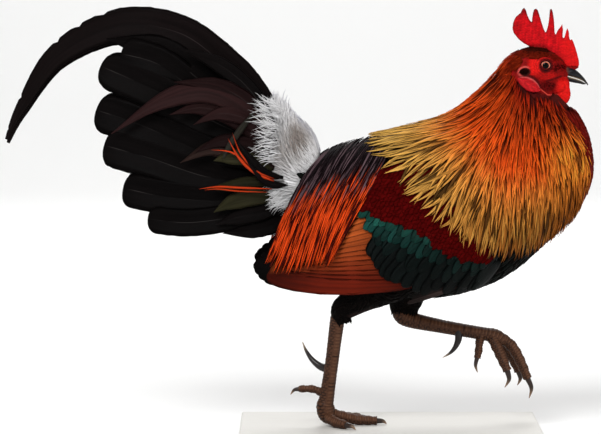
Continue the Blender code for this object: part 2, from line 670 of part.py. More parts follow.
def make_head(parts, head, neck):
    for name, side in (("right", RIGHT), ("left", LEFT)):
        x, z = EYE_PLACE
        centre = (x, side * EYE_DEPTH, z)
        eye = solid(f"eye_{name}", *lobe(centre, (EYE_RADIUS,) * 3, 0, 12, 8), "eye", parts)
        bpy.ops.mesh.primitive_torus_add(major_radius=5.3 * MM, minor_radius=1.7 * MM, major_segments=12,
                                         minor_segments=5, rotation=(math.radians(90), 0, 0),
                                         location=(x * MM, side * 14.1 * MM, z * MM))
        lid = bpy.context.object
        boolean(head, "UNION", [lid], "EXACT")
        clear_of(head, eye, solver="EXACT")
        wattle = solid(f"wattle_{name}", *lobe((154.5, side * 8.6, 306), (9.4, 2.2, 12.2), 6), "bare_skin", parts)
        outside = hull_point(DRAPE, *locate(DRAPE, 124, 313.5), side, 3.2)[1]
        earlobe = solid(f"earlobe_{name}", *lobe((123.5, outside, 313.5), (11, 2.6, 5.2), -27), "bare_skin", parts)
        for flap, above in ((wattle, 5.0), (earlobe, 2.6)):
            core = loft(hull_rings(BODY, NECK_START, HEAD_START + 0.05, 6, 16, 0.4))
            boolean(flap, "DIFFERENCE", [solid("core_room", *core, "hackle", parts)])
            cape = under_sheet(Drape(DRAPE, CAPE_GUIDES), cape_face, side, (11, 8), (0.0, 0.6), above=above)
            boolean(flap, "DIFFERENCE", [solid("cape_room", *cape, "hackle", parts)])
            clear_of(flap, head)
        clear_of(wattle, neck)


def bill_rings(table, count, around):
    rows = along(table, count)
    angle = np.linspace(0, 2 * math.pi, around, endpoint=False)[None, :]
    tx, tz, bx, bz, w = (rows[:, k][:, None] for k in range(5))
    c = np.cos(angle)
    return np.stack([(tx + bx) / 2 + (tx - bx) / 2 * c, w * np.sin(angle), (tz + bz) / 2 + (tz - bz) / 2 * c], -1)


def make_bill(parts, head):
    upper = solid("bill_upper", *loft(bill_rings(UPPER_BILL, 6, 12)), "bill_horn", parts)
    lower = solid("bill_lower", *loft(bill_rings(LOWER_BILL, 5, 10)), "bill_horn", parts)
    clear_of(upper, head)
    clear_of(lower, head, upper)
    return upper, lower


# The side of a comb point, hollow towards its tip
def point_side(start, end, rising):
    t = np.array((0.4, 0.75))
    ease = t**0.55 if rising else t**1.8
    return [(start[0] + (end[0] - start[0]) * e, start[1] + (end[1] - start[1]) * u) for e, u in zip(ease, t)]


def make_comb(parts, head, upper):
    outline = list(COMB_LOBE)
    for k, tip in enumerate(COMB_POINTS):
        before = COMB_NOTCHES[k - 1] if k else outline[-1]
        outline += (point_side(before, tip, True) if k else []) + [tip]
        after = COMB_NOTCHES[k] if k < len(COMB_NOTCHES) else COMB_FRONT[0]
        outline += point_side(tip, after, False) + [after]
    outline += COMB_FRONT[1:]
    curve = bpy.data.curves.new("comb", "CURVE")
    curve.dimensions, curve.fill_mode, curve.extrude = "2D", "BOTH", COMB_THICK / 2 * MM
    line = curve.splines.new("POLY")
    line.points.add(len(outline) - 1)
    for point, (x, z) in zip(line.points, outline):
        point.co = (x * MM, z * MM, 0, 1)
    line.use_cyclic_u = True
    flat = bpy.data.objects.new("comb_outline", curve)
    bpy.context.scene.collection.objects.link(flat)
    flat.rotation_euler = (math.radians(90), 0, 0)
    bpy.context.view_layer.update()
    graph = bpy.context.evaluated_depsgraph_get()
    mesh = bpy.data.meshes.new_from_object(flat.evaluated_get(graph))
    mesh.transform(flat.matrix_world)
    bpy.data.objects.remove(flat)
    shaped = bmesh.new()
    shaped.from_mesh(mesh)
    bmesh.ops.remove_doubles(shaped, verts=shaped.verts[:], dist=1e-6)
    bmesh.ops.recalc_face_normals(shaped, faces=shaped.faces[:])
    shaped.to_mesh(mesh)
    shaped.free()
    mesh.name = "comb"
    mesh.materials.append(material("bare_skin"))
    comb = bpy.data.objects.new("comb", mesh)
    parts.objects.link(comb)
    return clear_of(comb, head, upper)


# Every other ring drawn in a little, so that the shank's scutes stand out
def scuted(rings):
    middle = rings.mean(1, keepdims=True)
    step = np.where(np.arange(len(rings)) % 2 == 0, 0.93, 1.0)[:, None, None]
    return middle + (rings - middle) * step


def make_leg(parts, name, thigh_rows, shank_rows, toes, claws, spur_rows, torso, side, floor):
    thigh = solid(f"thigh_{name}", *loft(tube_rings(thigh_rows, 7, 12)), "black_plumage", parts)
    boolean(thigh, "DIFFERENCE", [solid("wing_room", *wing_slab(side, -0.2, 12), "wing", parts)])
    clear_of(thigh, torso)
    shank = solid(f"shank_{name}", *loft(scuted(tube_rings(shank_rows, 19, 8))), "leg_scale", parts)
    clear_of(shank, thigh)
    laid = []
    for toe in ("toe_3", "toe_2", "toe_4", "hallux"):
        rows = toes[toe]
        digit = solid(f"{toe}_{name}", *loft(tube_rings(rows, 5, 8, floor)), "leg_scale", parts)
        clear_of(digit, shank, *laid)
        laid.append(digit)
        end, back = np.array(rows[-1]), np.array(rows[-2])
        start = end[:3] + unit(end[:3] - back[:3]) * (GAP + 0.05)
        path = [(*start, end[3] * 0.8)] + [(*p, r) for p, r in zip(claws[toe], (end[3] * 0.55, 0.25))]
        claw = solid(f"claw_{toe}_{name}", *loft(tube_rings(path, 4, 6, floor)), "claw_horn", parts)
        clear_of(claw, digit)
    spur = solid(f"spur_{name}", *loft(tube_rings(spur_rows, 6, 8)), "claw_horn", parts)
    clear_of(spur, shank)


def make_base(parts):
    bpy.ops.mesh.primitive_cube_add(size=1, location=(0, 0, BASE_HEIGHT / 2 * MM))
    board = bpy.context.object
    board.name = "stand_base"
    board.scale = (BASE_LENGTH * MM, BASE_WIDTH * MM, BASE_HEIGHT * MM)
    bpy.ops.object.transform_apply(location=False, rotation=False, scale=True)
    corners = board.modifiers.new("corners", "BEVEL")
    corners.width, corners.segments, corners.limit_method = BASE_BEVEL * MM, 3, "ANGLE"
    board.data.materials.append(material("base_board"))
    for owner in list(board.users_collection):
        owner.objects.unlink(board)
    parts.objects.link(board)


def main():
    for old in list(bpy.data.objects):
        bpy.data.objects.remove(old)
    parts = bpy.data.collections.new("junglefowl")
    bpy.context.scene.collection.children.link(parts)
    make_base(parts)
    torso, head, root = make_body(parts)
    neck = make_neck(parts, torso)
    make_head(parts, head, neck)
    upper, _lower = make_bill(parts, head)
    make_comb(parts, head, upper)
    for name, side in (("right", RIGHT), ("left", LEFT)):
        make_saddle(parts, f"saddle_{name}", side, torso, root)
        make_wing(parts, f"wing_{name}", side, torso)
    make_tail(parts, root)
    make_leg(parts, "right", THIGH_RIGHT, SHANK_RIGHT, TOES_RIGHT, CLAWS_RIGHT, SPUR_RIGHT, torso, RIGHT, FLOOR)
    make_leg(parts, "left", THIGH_LEFT, SHANK_LEFT, TOES_LEFT, CLAWS_LEFT, SPUR_LEFT, torso, LEFT, None)


main()
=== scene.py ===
import bmesh
import bpy
import math
import numpy as np
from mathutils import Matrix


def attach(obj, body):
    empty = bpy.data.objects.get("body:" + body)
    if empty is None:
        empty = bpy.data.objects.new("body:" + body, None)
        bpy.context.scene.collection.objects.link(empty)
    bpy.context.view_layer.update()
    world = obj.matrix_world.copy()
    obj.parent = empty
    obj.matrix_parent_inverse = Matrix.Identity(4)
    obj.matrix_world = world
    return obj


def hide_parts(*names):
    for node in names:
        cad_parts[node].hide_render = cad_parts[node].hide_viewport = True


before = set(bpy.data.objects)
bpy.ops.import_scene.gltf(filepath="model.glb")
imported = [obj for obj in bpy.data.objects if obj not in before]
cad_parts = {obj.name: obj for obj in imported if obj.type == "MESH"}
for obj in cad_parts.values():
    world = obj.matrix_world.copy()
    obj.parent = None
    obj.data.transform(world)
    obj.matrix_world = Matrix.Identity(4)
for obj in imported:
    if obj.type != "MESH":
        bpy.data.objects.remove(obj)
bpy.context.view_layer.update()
mm = 0.001
golden = 0.6180339  # places that step by this share of a whole never line up
right, left = -1, 1
sides = {"Right": right, "Left": left}
print("frame loaded")

view = {"scale": 0.9, "middle": (-80.55, 194.7), "elevation": 4.5, "distance": 3000.0, "width": 601}
studio = {"floor": (0.92, 0.92, 0.915), "key": 50, "fill": 9, "rim": 22, "wall": 46, "sky": 0.42}


def makeCamera():
    lens = bpy.data.cameras.new("camera")
    lens.sensor_width = 36
    lens.angle = 2 * math.atan(view["scale"] * view["width"] / 2 / view["distance"])
    lens.clip_end = 50
    camera = bpy.data.objects.new("camera", lens)
    bpy.context.scene.collection.objects.link(camera)
    up = math.radians(view["elevation"])
    x, z = view["middle"]
    camera.location = (x * mm, -view["distance"] * math.cos(up) * mm,
                       (z + view["distance"] * math.sin(up)) * mm)
    camera.rotation_euler = (math.pi / 2 - up, 0, 0)
    bpy.context.scene.camera = camera


def makeLight(name, place, size, power, target=(-0.08, 0, 0.2)):
    lamp = bpy.data.lights.new(name, "AREA")
    lamp.shape, lamp.size, lamp.energy = "DISK", size, power
    made = bpy.data.objects.new(name, lamp)
    bpy.context.scene.collection.objects.link(made)
    made.location = place
    aim = np.array(target) - np.array(place)
    made.rotation_euler = (math.atan2(math.hypot(aim[0], aim[1]), -aim[2]), 0, math.atan2(-aim[0], aim[1]))


def makeStudio():
    # the floor's profile is flat, then a quarter circle up to a wall far behind
    bend = np.linspace(0, math.pi / 2, 24)
    depth = np.concatenate([[-6.0], 3.0 + 1.5 * np.sin(bend), [4.5]])
    height = np.concatenate([[0.0], 1.5 - 1.5 * np.cos(bend), [6.0]])
    across = np.array([-7.0, 7.0])
    points = np.stack(np.broadcast_arrays(across[:, None], depth[None], height[None] - 0.0004), -1)
    floor = gridObject("floor", points / mm)
    finish = Finish("floor", 0.7, Base_Color=(*studio["floor"], 1))
    floor.data.materials.append(finish.paint(height=finish.noise(40.0, 4.0), strength=0.05))
    makeLight("keyLight", (-0.8, -1.9, 1.9), 1.2, studio["key"])
    makeLight("fillLight", (1.9, -1.5, 0.9), 1.6, studio["fill"])
    makeLight("rimLight", (0.2, 1.6, 1.9), 1.2, studio["rim"])
    makeLight("wallLight", (0.0, 1.8, 2.6), 2.5, studio["wall"], (0.0, 4.5, 1.0))
    world = bpy.data.worlds.new("world")
    world.use_nodes = True
    sky = world.node_tree.nodes["Background"]
    sky.inputs["Color"].default_value = (1, 1, 1, 1)
    sky.inputs["Strength"].default_value = studio["sky"]
    bpy.context.scene.world = world
    bpy.context.scene.view_settings.view_transform = "Standard"


# a shader socket that takes part in Python expressions
class Val:
    def __init__(self, finish, socket):
        self.finish, self.socket = finish, socket

    def math(self, operation, *parts):
        return self.finish.node("ShaderNodeMath", {"operation": operation}, dict(enumerate(parts)))

    def __add__(self, other):
        return self.math("ADD", self, other)

    def __radd__(self, other):
        return self.math("ADD", other, self)

    def __sub__(self, other):
        return self.math("SUBTRACT", self, other)

    def __rsub__(self, other):
        return self.math("SUBTRACT", other, self)

    def __mul__(self, other):
        return self.math("MULTIPLY", self, other)

    def __rmul__(self, other):
        return self.math("MULTIPLY", other, self)

    def __pow__(self, other):
        return self.math("POWER", self, other)

    def __abs__(self):
        return self.math("ABSOLUTE", self)

    def sine(self):
        return self.math("SINE", self)

    # 0 at low and 1 at high, smooth in between
    def between(self, low, high):
        sockets = {"Value": self, "From Min": low, "From Max": high}
        return self.finish.node("ShaderNodeMapRange", {"interpolation_type": "SMOOTHSTEP"}, sockets)


def colour4(value):
    return value if isinstance(value, Val) else (*value, 1.0)


class Finish:
    def __init__(self, name, roughness=0.5, **constants):
        self.material = bpy.data.materials.new(name)
        self.material.use_nodes = True
        self.tree = self.material.node_tree
        self.shader = self.tree.nodes["Principled BSDF"]
        self.shader.inputs["Roughness"].default_value = roughness
        for key, value in constants.items():
            self.shader.inputs[key.replace("_", " ")].default_value = value

    # settings go on the node first, then values or links on its sockets
    def node(self, kind, settings=None, sockets=None, out=0):
        made = self.tree.nodes.new(kind)
        for key, value in (settings or {}).items():
            setattr(made, key, value)
        for key, value in (sockets or {}).items():
            if isinstance(value, Val):
                self.tree.links.new(value.socket, made.inputs[key])
            else:
                made.inputs[key].default_value = value
        return Val(self, made.outputs[out])

    # one of a node's outputs beside the one it was made for
    def other(self, val, out):
        return Val(self, val.socket.node.outputs[out])

    # object coordinates
    def place(self):
        return self.node("ShaderNodeTexCoord", out=3)

    def split(self, vector):
        x = self.node("ShaderNodeSeparateXYZ", sockets={0: vector})
        return x, self.other(x, 1), self.other(x, 2)

    def noise(self, scale, detail=2.0, at=None, stretch=None):
        at = at or self.place()
        if stretch:
            at = self.node("ShaderNodeMapping", sockets={"Vector": at, "Scale": stretch})
        return self.node("ShaderNodeTexNoise", sockets={"Vector": at, "Scale": scale, "Detail": detail})

    def cells(self, scale):
        sockets = {"Vector": self.place(), "Scale": scale}
        return self.node("ShaderNodeTexVoronoi", {"feature": "F1"}, sockets)

    # a piece's own colour, and the chance number of each of its feathers
    def tint(self):
        colour = self.node("ShaderNodeAttribute", {"attribute_name": "tint"})
        return colour, self.other(colour, 3)

    # place across and along a vane, each from 0 to 1
    def vane(self):
        u, v, _ = self.split(self.node("ShaderNodeUVMap", {"uv_map": "vane"}))
        return u, v

    def mix(self, factor, first, second, blend="MIX"):
        settings = {"data_type": "RGBA", "blend_type": blend}
        sockets = {0: factor, 6: colour4(first), 7: colour4(second)}
        return self.node("ShaderNodeMix", settings, sockets, out=2)

    def shade(self, colour, amount):
        return self.mix(1.0, colour, amount, "MULTIPLY")

    def paint(self, colour=None, rough=None, height=None, strength=0.5, distance=0.0005):
        if colour is not None:
            self.tree.links.new(colour.socket, self.shader.inputs["Base Color"])
        if rough is not None:
            self.tree.links.new(rough.socket, self.shader.inputs["Roughness"])
        if height is not None:
            sockets = {"Height": height, "Strength": strength, "Distance": distance}
            bump = self.node("ShaderNodeBump", sockets=sockets)
            self.tree.links.new(bump.socket, self.shader.inputs["Normal"])
        return self.material


# linear value of a colour given from 0 to 255
def lin(*rgb):
    c = np.array(rgb, float) / 255
    return np.where(c <= 0.04045, c / 12.92, ((c + 0.055) / 1.055) ** 2.4)


def smoothStep(low, high, x):
    t = np.clip((x - low) / (high - low), 0, 1)
    return t * t * (3 - 2 * t)


# value at a share k of the way between two ends
def ranged(ends, k):
    return ends[0] + (ends[1] - ends[0]) * k


def unit(v):
    return v / np.maximum(np.linalg.norm(v, axis=-1, keepdims=True), 1e-9)


def blend(first, second, amount):
    amount = np.asarray(amount)[..., None]
    return first * (1 - amount) + second * amount


# weights of the four table rows round a place t on a Catmull-Rom curve
def curveWeights(t):
    first, second = -t + 2 * t**2 - t**3, 2 - 5 * t**2 + 3 * t**3
    third, fourth = t + 4 * t**2 - 3 * t**3, t**3 - t**2
    return 0.5 * np.stack([first, second, third, fourth], -1)


# Catmull-Rom curve through a table's rows, read at row numbers s
def curve(table, s):
    table = np.asarray(table, float)
    last = len(table) - 1
    s = np.clip(np.asarray(s, float), 0, last)
    i = np.minimum(s.astype(int), last - 1)
    rows = table[np.clip(i[..., None] + np.arange(-1, 3), 0, last)]
    weights = curveWeights(s - i)
    return np.sum(rows * weights.reshape(weights.shape + (1,) * (table.ndim - 1)), axis=s.ndim)


# a curve through few rows, read at places t from 0 to 1
def through(rows, t):
    return curve(rows, np.asarray(t) * (len(rows) - 1))


# the same curve in two directions of a table of lines and steps
def curvedGrid(table, a, b):
    a, b = np.broadcast_arrays(np.asarray(a, float), np.asarray(b, float))
    lastA, lastB = table.shape[0] - 1, table.shape[1] - 1
    a, b = np.clip(a, 0, lastA), np.clip(b, 0, lastB)
    i, j = np.minimum(a.astype(int), lastA - 1), np.minimum(b.astype(int), lastB - 1)
    near = np.arange(-1, 3)
    ii = np.clip(i[..., None] + near, 0, lastA)
    jj = np.clip(j[..., None] + near, 0, lastB)
    cells = table[ii[..., :, None], jj[..., None, :]]
    return np.einsum("...i,...j,...ijk->...k", curveWeights(a - i), curveWeights(b - j), cells)


# mesh object from points in millimetres and blocks of faces, each block an array of corners
def meshObject(name, points, blocks):
    mesh = bpy.data.meshes.new(name)
    points = np.asarray(points, float).reshape(-1, 3) * mm
    blocks = [np.asarray(b) for b in blocks if len(b)]
    sizes = np.concatenate([np.full(len(b), b.shape[1]) for b in blocks])
    corners = np.concatenate([b.ravel() for b in blocks])
    mesh.vertices.add(len(points))
    mesh.vertices.foreach_set("co", points.astype(np.float32).ravel())
    mesh.loops.add(len(corners))
    mesh.loops.foreach_set("vertex_index", corners.astype(np.int32))
    mesh.polygons.add(len(sizes))
    mesh.polygons.foreach_set("loop_start", (np.cumsum(sizes) - sizes).astype(np.int32))
    mesh.polygons.foreach_set("loop_total", sizes.astype(np.int32))
    mesh.update(calc_edges=True)
    mesh.polygons.foreach_set("use_smooth", np.full(len(mesh.polygons), True))
    made = bpy.data.objects.new(name, mesh)
    bpy.context.scene.collection.objects.link(made)
    return made


# quads between the rows and columns of a grid of point numbers
def gridQuads(index):
    return np.stack([index[:-1, :-1], index[:-1, 1:], index[1:, 1:], index[1:, :-1]], -1).reshape(-1, 4)


def gridObject(name, points):
    rows, columns = points.shape[:2]
    return meshObject(name, points, [gridQuads(np.arange(rows * columns).reshape(rows, columns))])


# closed tube over rings of points, each end shut by a fan round its middle
def closedLoft(rings):
    rows, columns = rings.shape[:2]
    index = np.arange(rows * columns).reshape(rows, columns)
    quads = gridQuads(np.concatenate([index, index[:, :1]], 1))
    ahead = np.roll(index, -1, 1)
    first = np.full(columns, rows * columns)
    caps = np.concatenate([np.stack([ahead[0], index[0], first], 1),
                           np.stack([index[-1], ahead[-1], first + 1], 1)])
    return np.concatenate([rings.reshape(-1, 3), rings[:1].mean(1), rings[-1:].mean(1)]), [quads, caps]


# several closed shapes made one list of points and blocks of faces
def joined(shapes):
    points, blocks, count = [], [], 0
    for shape, faces in shapes:
        blocks += [b + count for b in faces]
        points.append(shape)
        count += len(shape)
    return np.concatenate(points), blocks


def vertexPlaces(made):
    co = np.empty(len(made.data.vertices) * 3, np.float32)
    made.data.vertices.foreach_get("co", co)
    return co.reshape(-1, 3).astype(float) / mm


def moveVertices(made, points):
    made.data.vertices.foreach_set("co", (np.asarray(points) * mm).astype(np.float32).ravel())
    made.data.update()


def turnOutwards(made):
    shaped = bmesh.new()
    shaped.from_mesh(made.data)
    bmesh.ops.recalc_face_normals(shaped, faces=shaped.faces[:])
    shaped.to_mesh(made.data)
    shaped.free()
    return made


# overlapping closed shapes melted into one even skin
def melted(name, shapes, voxel, smoothing):
    rough = turnOutwards(meshObject(name, *joined(shapes)))
    melt = rough.modifiers.new("melt", "REMESH")
    melt.mode, melt.voxel_size, melt.use_smooth_shade = "VOXEL", voxel * mm, True
    calm = rough.modifiers.new("calm", "SMOOTH")
    calm.factor, calm.iterations = 0.5, smoothing
    graph = bpy.context.evaluated_depsgraph_get()
    mesh = bpy.data.meshes.new_from_object(rough.evaluated_get(graph))
    rough.modifiers.clear()
    rough.data = mesh
    return rough


def setTint(made, colours, chance=None):
    layer = made.data.color_attributes.new("tint", "FLOAT_COLOR", "POINT")
    colours = np.asarray(colours, float).reshape(-1, 3)
    chance = np.ones(len(colours)) if chance is None else np.asarray(chance).ravel()
    values = np.concatenate([colours, chance[:, None]], 1)
    layer.data.foreach_set("color", values.astype(np.float32).ravel())


# a UV map with one place for each vertex
def setMap(made, name, places):
    layer = made.data.uv_layers.new(name=name)
    corners = np.empty(len(made.data.loops), np.int32)
    made.data.loops.foreach_get("vertex_index", corners)
    layer.data.foreach_set("uv", np.asarray(places, np.float32)[corners].ravel())


def dress(made, slot, material, *nodes):
    made.data.materials.clear()
    made.data.materials.append(material)
    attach(made, "root")
    if nodes:
        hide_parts(*nodes)
    return made


# Feathers, all at once: path and normals (feather, station, 3), half width (feather, station).
# Across a vane c goes from -1 to 1: point = path + side * c * half * edge
# + rise * (thick * (1 - |c|) - cup * half * c * c), with a flat underside, or a copy of the face below it
def feathers(name, path, normals, half, tints, cells, slot, material, nodes=(), c=(-1, 0, 1), thick=0.25,
             cup=0.0, edge=None, full=False, seed=1):
    count, stations = path.shape[:2]
    c = np.asarray(c, float)
    tangent = unit(np.gradient(path, axis=1))
    side = unit(np.cross(tangent, normals))[:, :, None]
    rise = unit(np.cross(side[:, :, 0], tangent))[:, :, None]
    half = half[..., None]
    reach = c * half * (1 if edge is None else edge)
    crown = thick * (1 - np.abs(c)) - cup * half * c**2
    top = path[:, :, None] + side * reach[..., None] + rise * crown[..., None]
    grids = [top.reshape(count, -1, 3)]
    index = np.arange(stations * len(c)).reshape(stations, len(c))
    inner = index[:, :0]
    if full:
        below = top[:, :, 1:-1] - rise * (0.5 * thick * (1 - c[1:-1] ** 2))[:, None] - rise * 0.06
        grids.append(below.reshape(count, -1, 3))
        inner = stations * len(c) + np.arange(stations * (len(c) - 2)).reshape(stations, len(c) - 2)
    under = np.concatenate([index[:, :1], inner, index[:, -1:]], 1)[:, ::-1]
    quads = np.concatenate([gridQuads(index), gridQuads(under)])
    ring = np.concatenate([index, under[:, 1:-1]], 1)
    caps = np.stack([ring[0][::-1], ring[-1]])
    points = np.concatenate(grids, 1)
    start = np.arange(count)[:, None, None] * points.shape[1]
    blocks = [(quads[None] + start).reshape(-1, 4), (caps[None] + start).reshape(-1, caps.shape[1])]
    made = meshObject(name, points, blocks)
    station, across = np.repeat(np.arange(stations), len(c)), np.tile(c, stations)
    if full:
        station = np.concatenate([station, np.repeat(np.arange(stations), len(c) - 2)])
        across = np.concatenate([across, np.tile(c[1:-1], stations)])
    chance = np.random.default_rng(seed).random(count)
    setTint(made, tints[:, station], np.repeat(chance, points.shape[1]))
    u = np.broadcast_to((across + 1) / 2, (count, len(across)))
    v = np.broadcast_to(station / (stations - 1), (count, len(across)))
    setMap(made, "vane", np.stack([u, v], -1).reshape(-1, 2))
    bake = np.stack([cells[:, :1] + cells[:, 2:3] * u, cells[:, 1:2] + cells[:, 3:4] * v], -1)
    setMap(made, "OFBake", bake.reshape(-1, 2))
    return dress(made, slot, material, *nodes)


# bake patches about 0.003 across at the roots' places on the unwrapped skin
def patches(u, v, size=0.003):
    u, v = np.clip(u, 0.004, 0.996), np.clip(v, 0.004, 0.996)
    return np.stack([u - size / 2, v - size / 2, np.full(len(u), size), np.full(len(u), size)], 1)


# cells side by side, for the few large feathers of a wing or tail
def largeCells(count):
    columns = int(math.ceil(math.sqrt(count)))
    i = np.arange(count)
    step = 1 / columns
    u, v = (i % columns) * step + 0.04 * step, (i // columns) * step + 0.04 * step
    return np.stack([u, v, np.full(count, 0.92 * step), np.full(count, 0.92 * step)], 1)


# body sections from rump to bill, as in the part: dorsal x and z, ventral x and z, half width
body = np.array([
    (-59.5, 252, -71.5, 170, 33), (-35, 257.5, -48, 143, 46), (0, 267, -8, 124, 53),
    (32, 275.5, 45, 124.5, 55), (57, 286, 92, 137.5, 53), (74, 299, 130, 162.5, 47.5),
    (87, 311, 161, 192, 40.5), (97, 322, 178, 227, 33), (105, 332, 176, 262, 26),
    (112, 338.5, 165, 286, 20.5), (118.5, 343, 153, 298, 17), (127, 346.5, 152, 303, 16),
    (137, 346.5, 152.5, 307.5, 14.5), (146, 343, 153.5, 311, 11.5), (154, 337, 155, 313.5, 8),
    (158.3, 331, 157.5, 316.5, 5.2)])
# the wider surface that wings, saddle and cape lie over
drape = np.array([
    (-150, 246, -150, 60, 34), (-100, 250, -100, 65, 44), (-66, 253, -70, 70, 51),
    (-35, 260, -45, 80, 56), (0, 269, -8, 95, 59.5), (32, 277, 45, 112, 60),
    (57, 287, 92, 134, 56), (74, 300, 130, 162, 49.5), (87, 312, 161, 192, 42),
    (97, 323, 178, 227, 34.5), (105, 333, 176, 262, 27), (112, 339, 165, 286, 21),
    (118.5, 343.5, 153, 298, 17.5)])
tailRoot = np.array([
    (-61.5, 255, -72.2, 176, 29), (-69, 268.5, -92, 181, 27), (-81, 282, -106, 191, 22),
    (-93, 292, -117, 203, 17), (-104, 297.5, -122, 222, 13), (-112, 295.5, -123, 245, 8)])
capeGuides = np.array([
    [(117, 344), (88, 313), (45, 283), (-18, 266)],
    [(113, 334), (86, 297), (40, 268), (-20, 249)],
    [(112, 324), (93, 281), (66, 236), (36, 190)],
    [(114, 314), (106, 266), (95, 212), (84, 163)],
    [(124, 307), (131, 262), (131, 214), (122, 166)],
    [(138, 303), (155, 268), (162, 228), (151, 182)],
    [(148, 301), (172, 272), (180, 240), (175, 208)]], float)
saddleGuides = np.array([
    [(-57, 252), (-76, 232), (-95, 197), (-113, 155)],
    [(-36, 260), (-58, 234), (-78, 197), (-98, 146)],
    [(-12, 265), (-34, 238), (-52, 203), (-70, 150)],
    [(7, 266), (-8, 240), (-28, 204), (-54, 155)]], float)


# point at station s and angle phi of a hull, 0 at the back's midline and pi at the belly's:
# the middle between dorsal and ventral point, plus half their distance times cos(phi),
# and w sin(phi) across
def hullSkin(hull, s, phi, side):
    dx, dz, vx, vz, w = np.moveaxis(curve(hull, s), -1, 0)
    c = np.cos(phi)
    return np.stack([(dx + vx) / 2 + (dx - vx) / 2 * c, side * w * np.sin(phi),
                     (dz + vz) / 2 + (dz - vz) / 2 * c], -1)


def hullNormal(hull, s, phi, side):
    step = 1e-3
    s = np.clip(s, step, len(hull) - 1 - step)
    lengthwise = hullSkin(hull, s + step, phi, side) - hullSkin(hull, s - step, phi, side)
    crosswise = hullSkin(hull, s, phi + step, side) - hullSkin(hull, s, phi - step, side)
    n = unit(np.cross(lengthwise, crosswise))
    middle = (hullSkin(hull, s, 0 * phi, side) + hullSkin(hull, s, 0 * phi + math.pi, side)) / 2
    outwards = np.sum(n * (hullSkin(hull, s, phi, side) - middle), -1, keepdims=True)
    return np.where(outwards < 0, -n, n)


# point at height h over a hull, and its normal
def over(hull, s, phi, side, h=0.0):
    s, phi, h = np.broadcast_arrays(np.asarray(s, float), phi, h)
    n = hullNormal(hull, s, phi, side)
    return hullSkin(hull, s, phi, side) + n * h[..., None], n


# station and angle of the hull's point that shows at (x, z) from the side
def locate(hull, x, z):
    x, z = np.broadcast_arrays(np.asarray(x, float), np.asarray(z, float))
    low, high = np.zeros(x.shape), np.full(x.shape, len(hull) - 1.0)
    for _ in range(30):
        s = (low + high) / 2
        dx, dz, vx, vz, _w = np.moveaxis(curve(hull, s), -1, 0)
        behind = (dx - vx) * (z - vz) - (dz - vz) * (x - vx) > 0
        high, low = np.where(behind, s, high), np.where(behind, low, s)
    ax, az = (dx - vx) / 2, (dz - vz) / 2
    u = ((x - (dx + vx) / 2) * ax + (z - (dz + vz) / 2) * az) / (ax**2 + az**2)
    return s, np.arccos(np.clip(u, -0.9995, 0.9995))


# full rings of a hull between two stations
def hullRings(hull, start, end, count, around, h=0.0):
    s = np.linspace(start, end, count)[:, None]
    phi = np.linspace(0, 2 * math.pi, around, endpoint=False)[None]
    return over(hull, s, phi, right, h)[0]


def unwrapped(hull, s, phi, side):
    return 0.02 + 0.96 * s / (len(hull) - 1), 0.5 + side * 0.48 * phi / math.pi


# round rings along a path of (x, y, z, radius) rows; front is the side where the angle is 0
def tubeRings(rows, count, around, front, floor=None, swell=None):
    t = np.linspace(0, 1, count)
    path = through(rows, t)
    centre, radius = path[:, :3], path[:, 3]
    tangent = unit(np.gradient(centre, axis=0))
    ahead = np.asarray(front, float) - tangent * np.sum(tangent * front, -1, keepdims=True)
    ahead = unit(ahead)
    across = np.cross(tangent, ahead)
    angle = np.linspace(0, 2 * math.pi, around, endpoint=False)
    run = np.concatenate([[0], np.cumsum(np.linalg.norm(np.diff(centre, axis=0), axis=1))])
    grown = np.zeros((count, around)) if swell is None else swell(run[:, None], angle[None])
    reach = (radius[:, None] + grown)[..., None]
    outward = np.cos(angle)[:, None] * ahead[:, None] + np.sin(angle)[:, None] * across[:, None]
    ring = centre[:, None] + reach * outward
    if floor is not None:
        ring[..., 2] = np.maximum(ring[..., 2], floor)
    return ring, run, angle


# finish of feathers: stripe darkens the shaft line, streak and barbs vary the vane, shaft is a pale line,
# rim paints shade along the vane's edges (a negative rim paints them lighter)
def plumeFinish(name, rough, stripe=0.0, stripeWidth=0.35, streak=0.5, barbs=70, shaft=None, gloss=0.1,
                rim=0.0, rimFrom=0.8, fade=(0.6, 1.0)):
    finish = Finish(name, rough, Specular_IOR_Level=gloss)
    u, v = finish.vane()
    colour, chance = finish.tint()
    c = abs(u * 2 - 1)
    at = finish.node("ShaderNodeCombineXYZ", sockets={0: u * 5, 1: v * 1.6 + chance * 31, 2: chance * 57})
    strands = finish.noise(1.6, 2.0, at)
    barb = (v * barbs * 6.28 - c * barbs * 0.9 + chance * 6).sine()
    tone = strands.between(0.28, 0.72) * streak + (1 - streak * 0.5) + barb * 0.06
    colour = finish.shade(colour, tone)
    if stripe:
        dark = (1 - c.between(stripeWidth * 0.3, stripeWidth)) * (1 - v.between(*fade)) * stripe
        colour = finish.mix(dark, colour, (0.006, 0.003, 0.002))
    # painted shade: rim darkens the vane's edges from rimFrom outwards, where overlapping feathers shade
    # each other; a negative rim paints them lighter
    if rim:
        colour = finish.shade(colour, 1 - c.between(rimFrom, 1.0) * rim)
    if shaft is not None:
        line = (1 - c.between(0.004, 0.026)) * (1 - v.between(0.7, 0.95)) * strands.between(0.42, 0.62)
        colour = finish.mix(line, colour, shaft)
    height = barb * 0.25 + strands
    roughness = rough + (strands - 0.5) * 0.25
    return finish.paint(colour, roughness, height, 0.6, 0.0004)


# one skin under the coat, from rump to throat, with the thighs and the tail's root
thighRows = {
    "Right": [(22, -26, 152, 24), (0, -27, 135, 16.5), (-25, -27.5, 121, 11.5), (-43, -26.5, 110, 8.6)],
    "Left": [(24, 26, 148, 25), (18, 27, 128, 18), (14, 27.5, 112, 13.8), (13.5, 26.5, 106, 9.5)]}
skinPlan = {"depth": -2.2, "voxel": 1.7, "dark": lin(26, 14, 12), "pale": lin(150, 140, 138),
            "red": lin(70, 14, 9)}


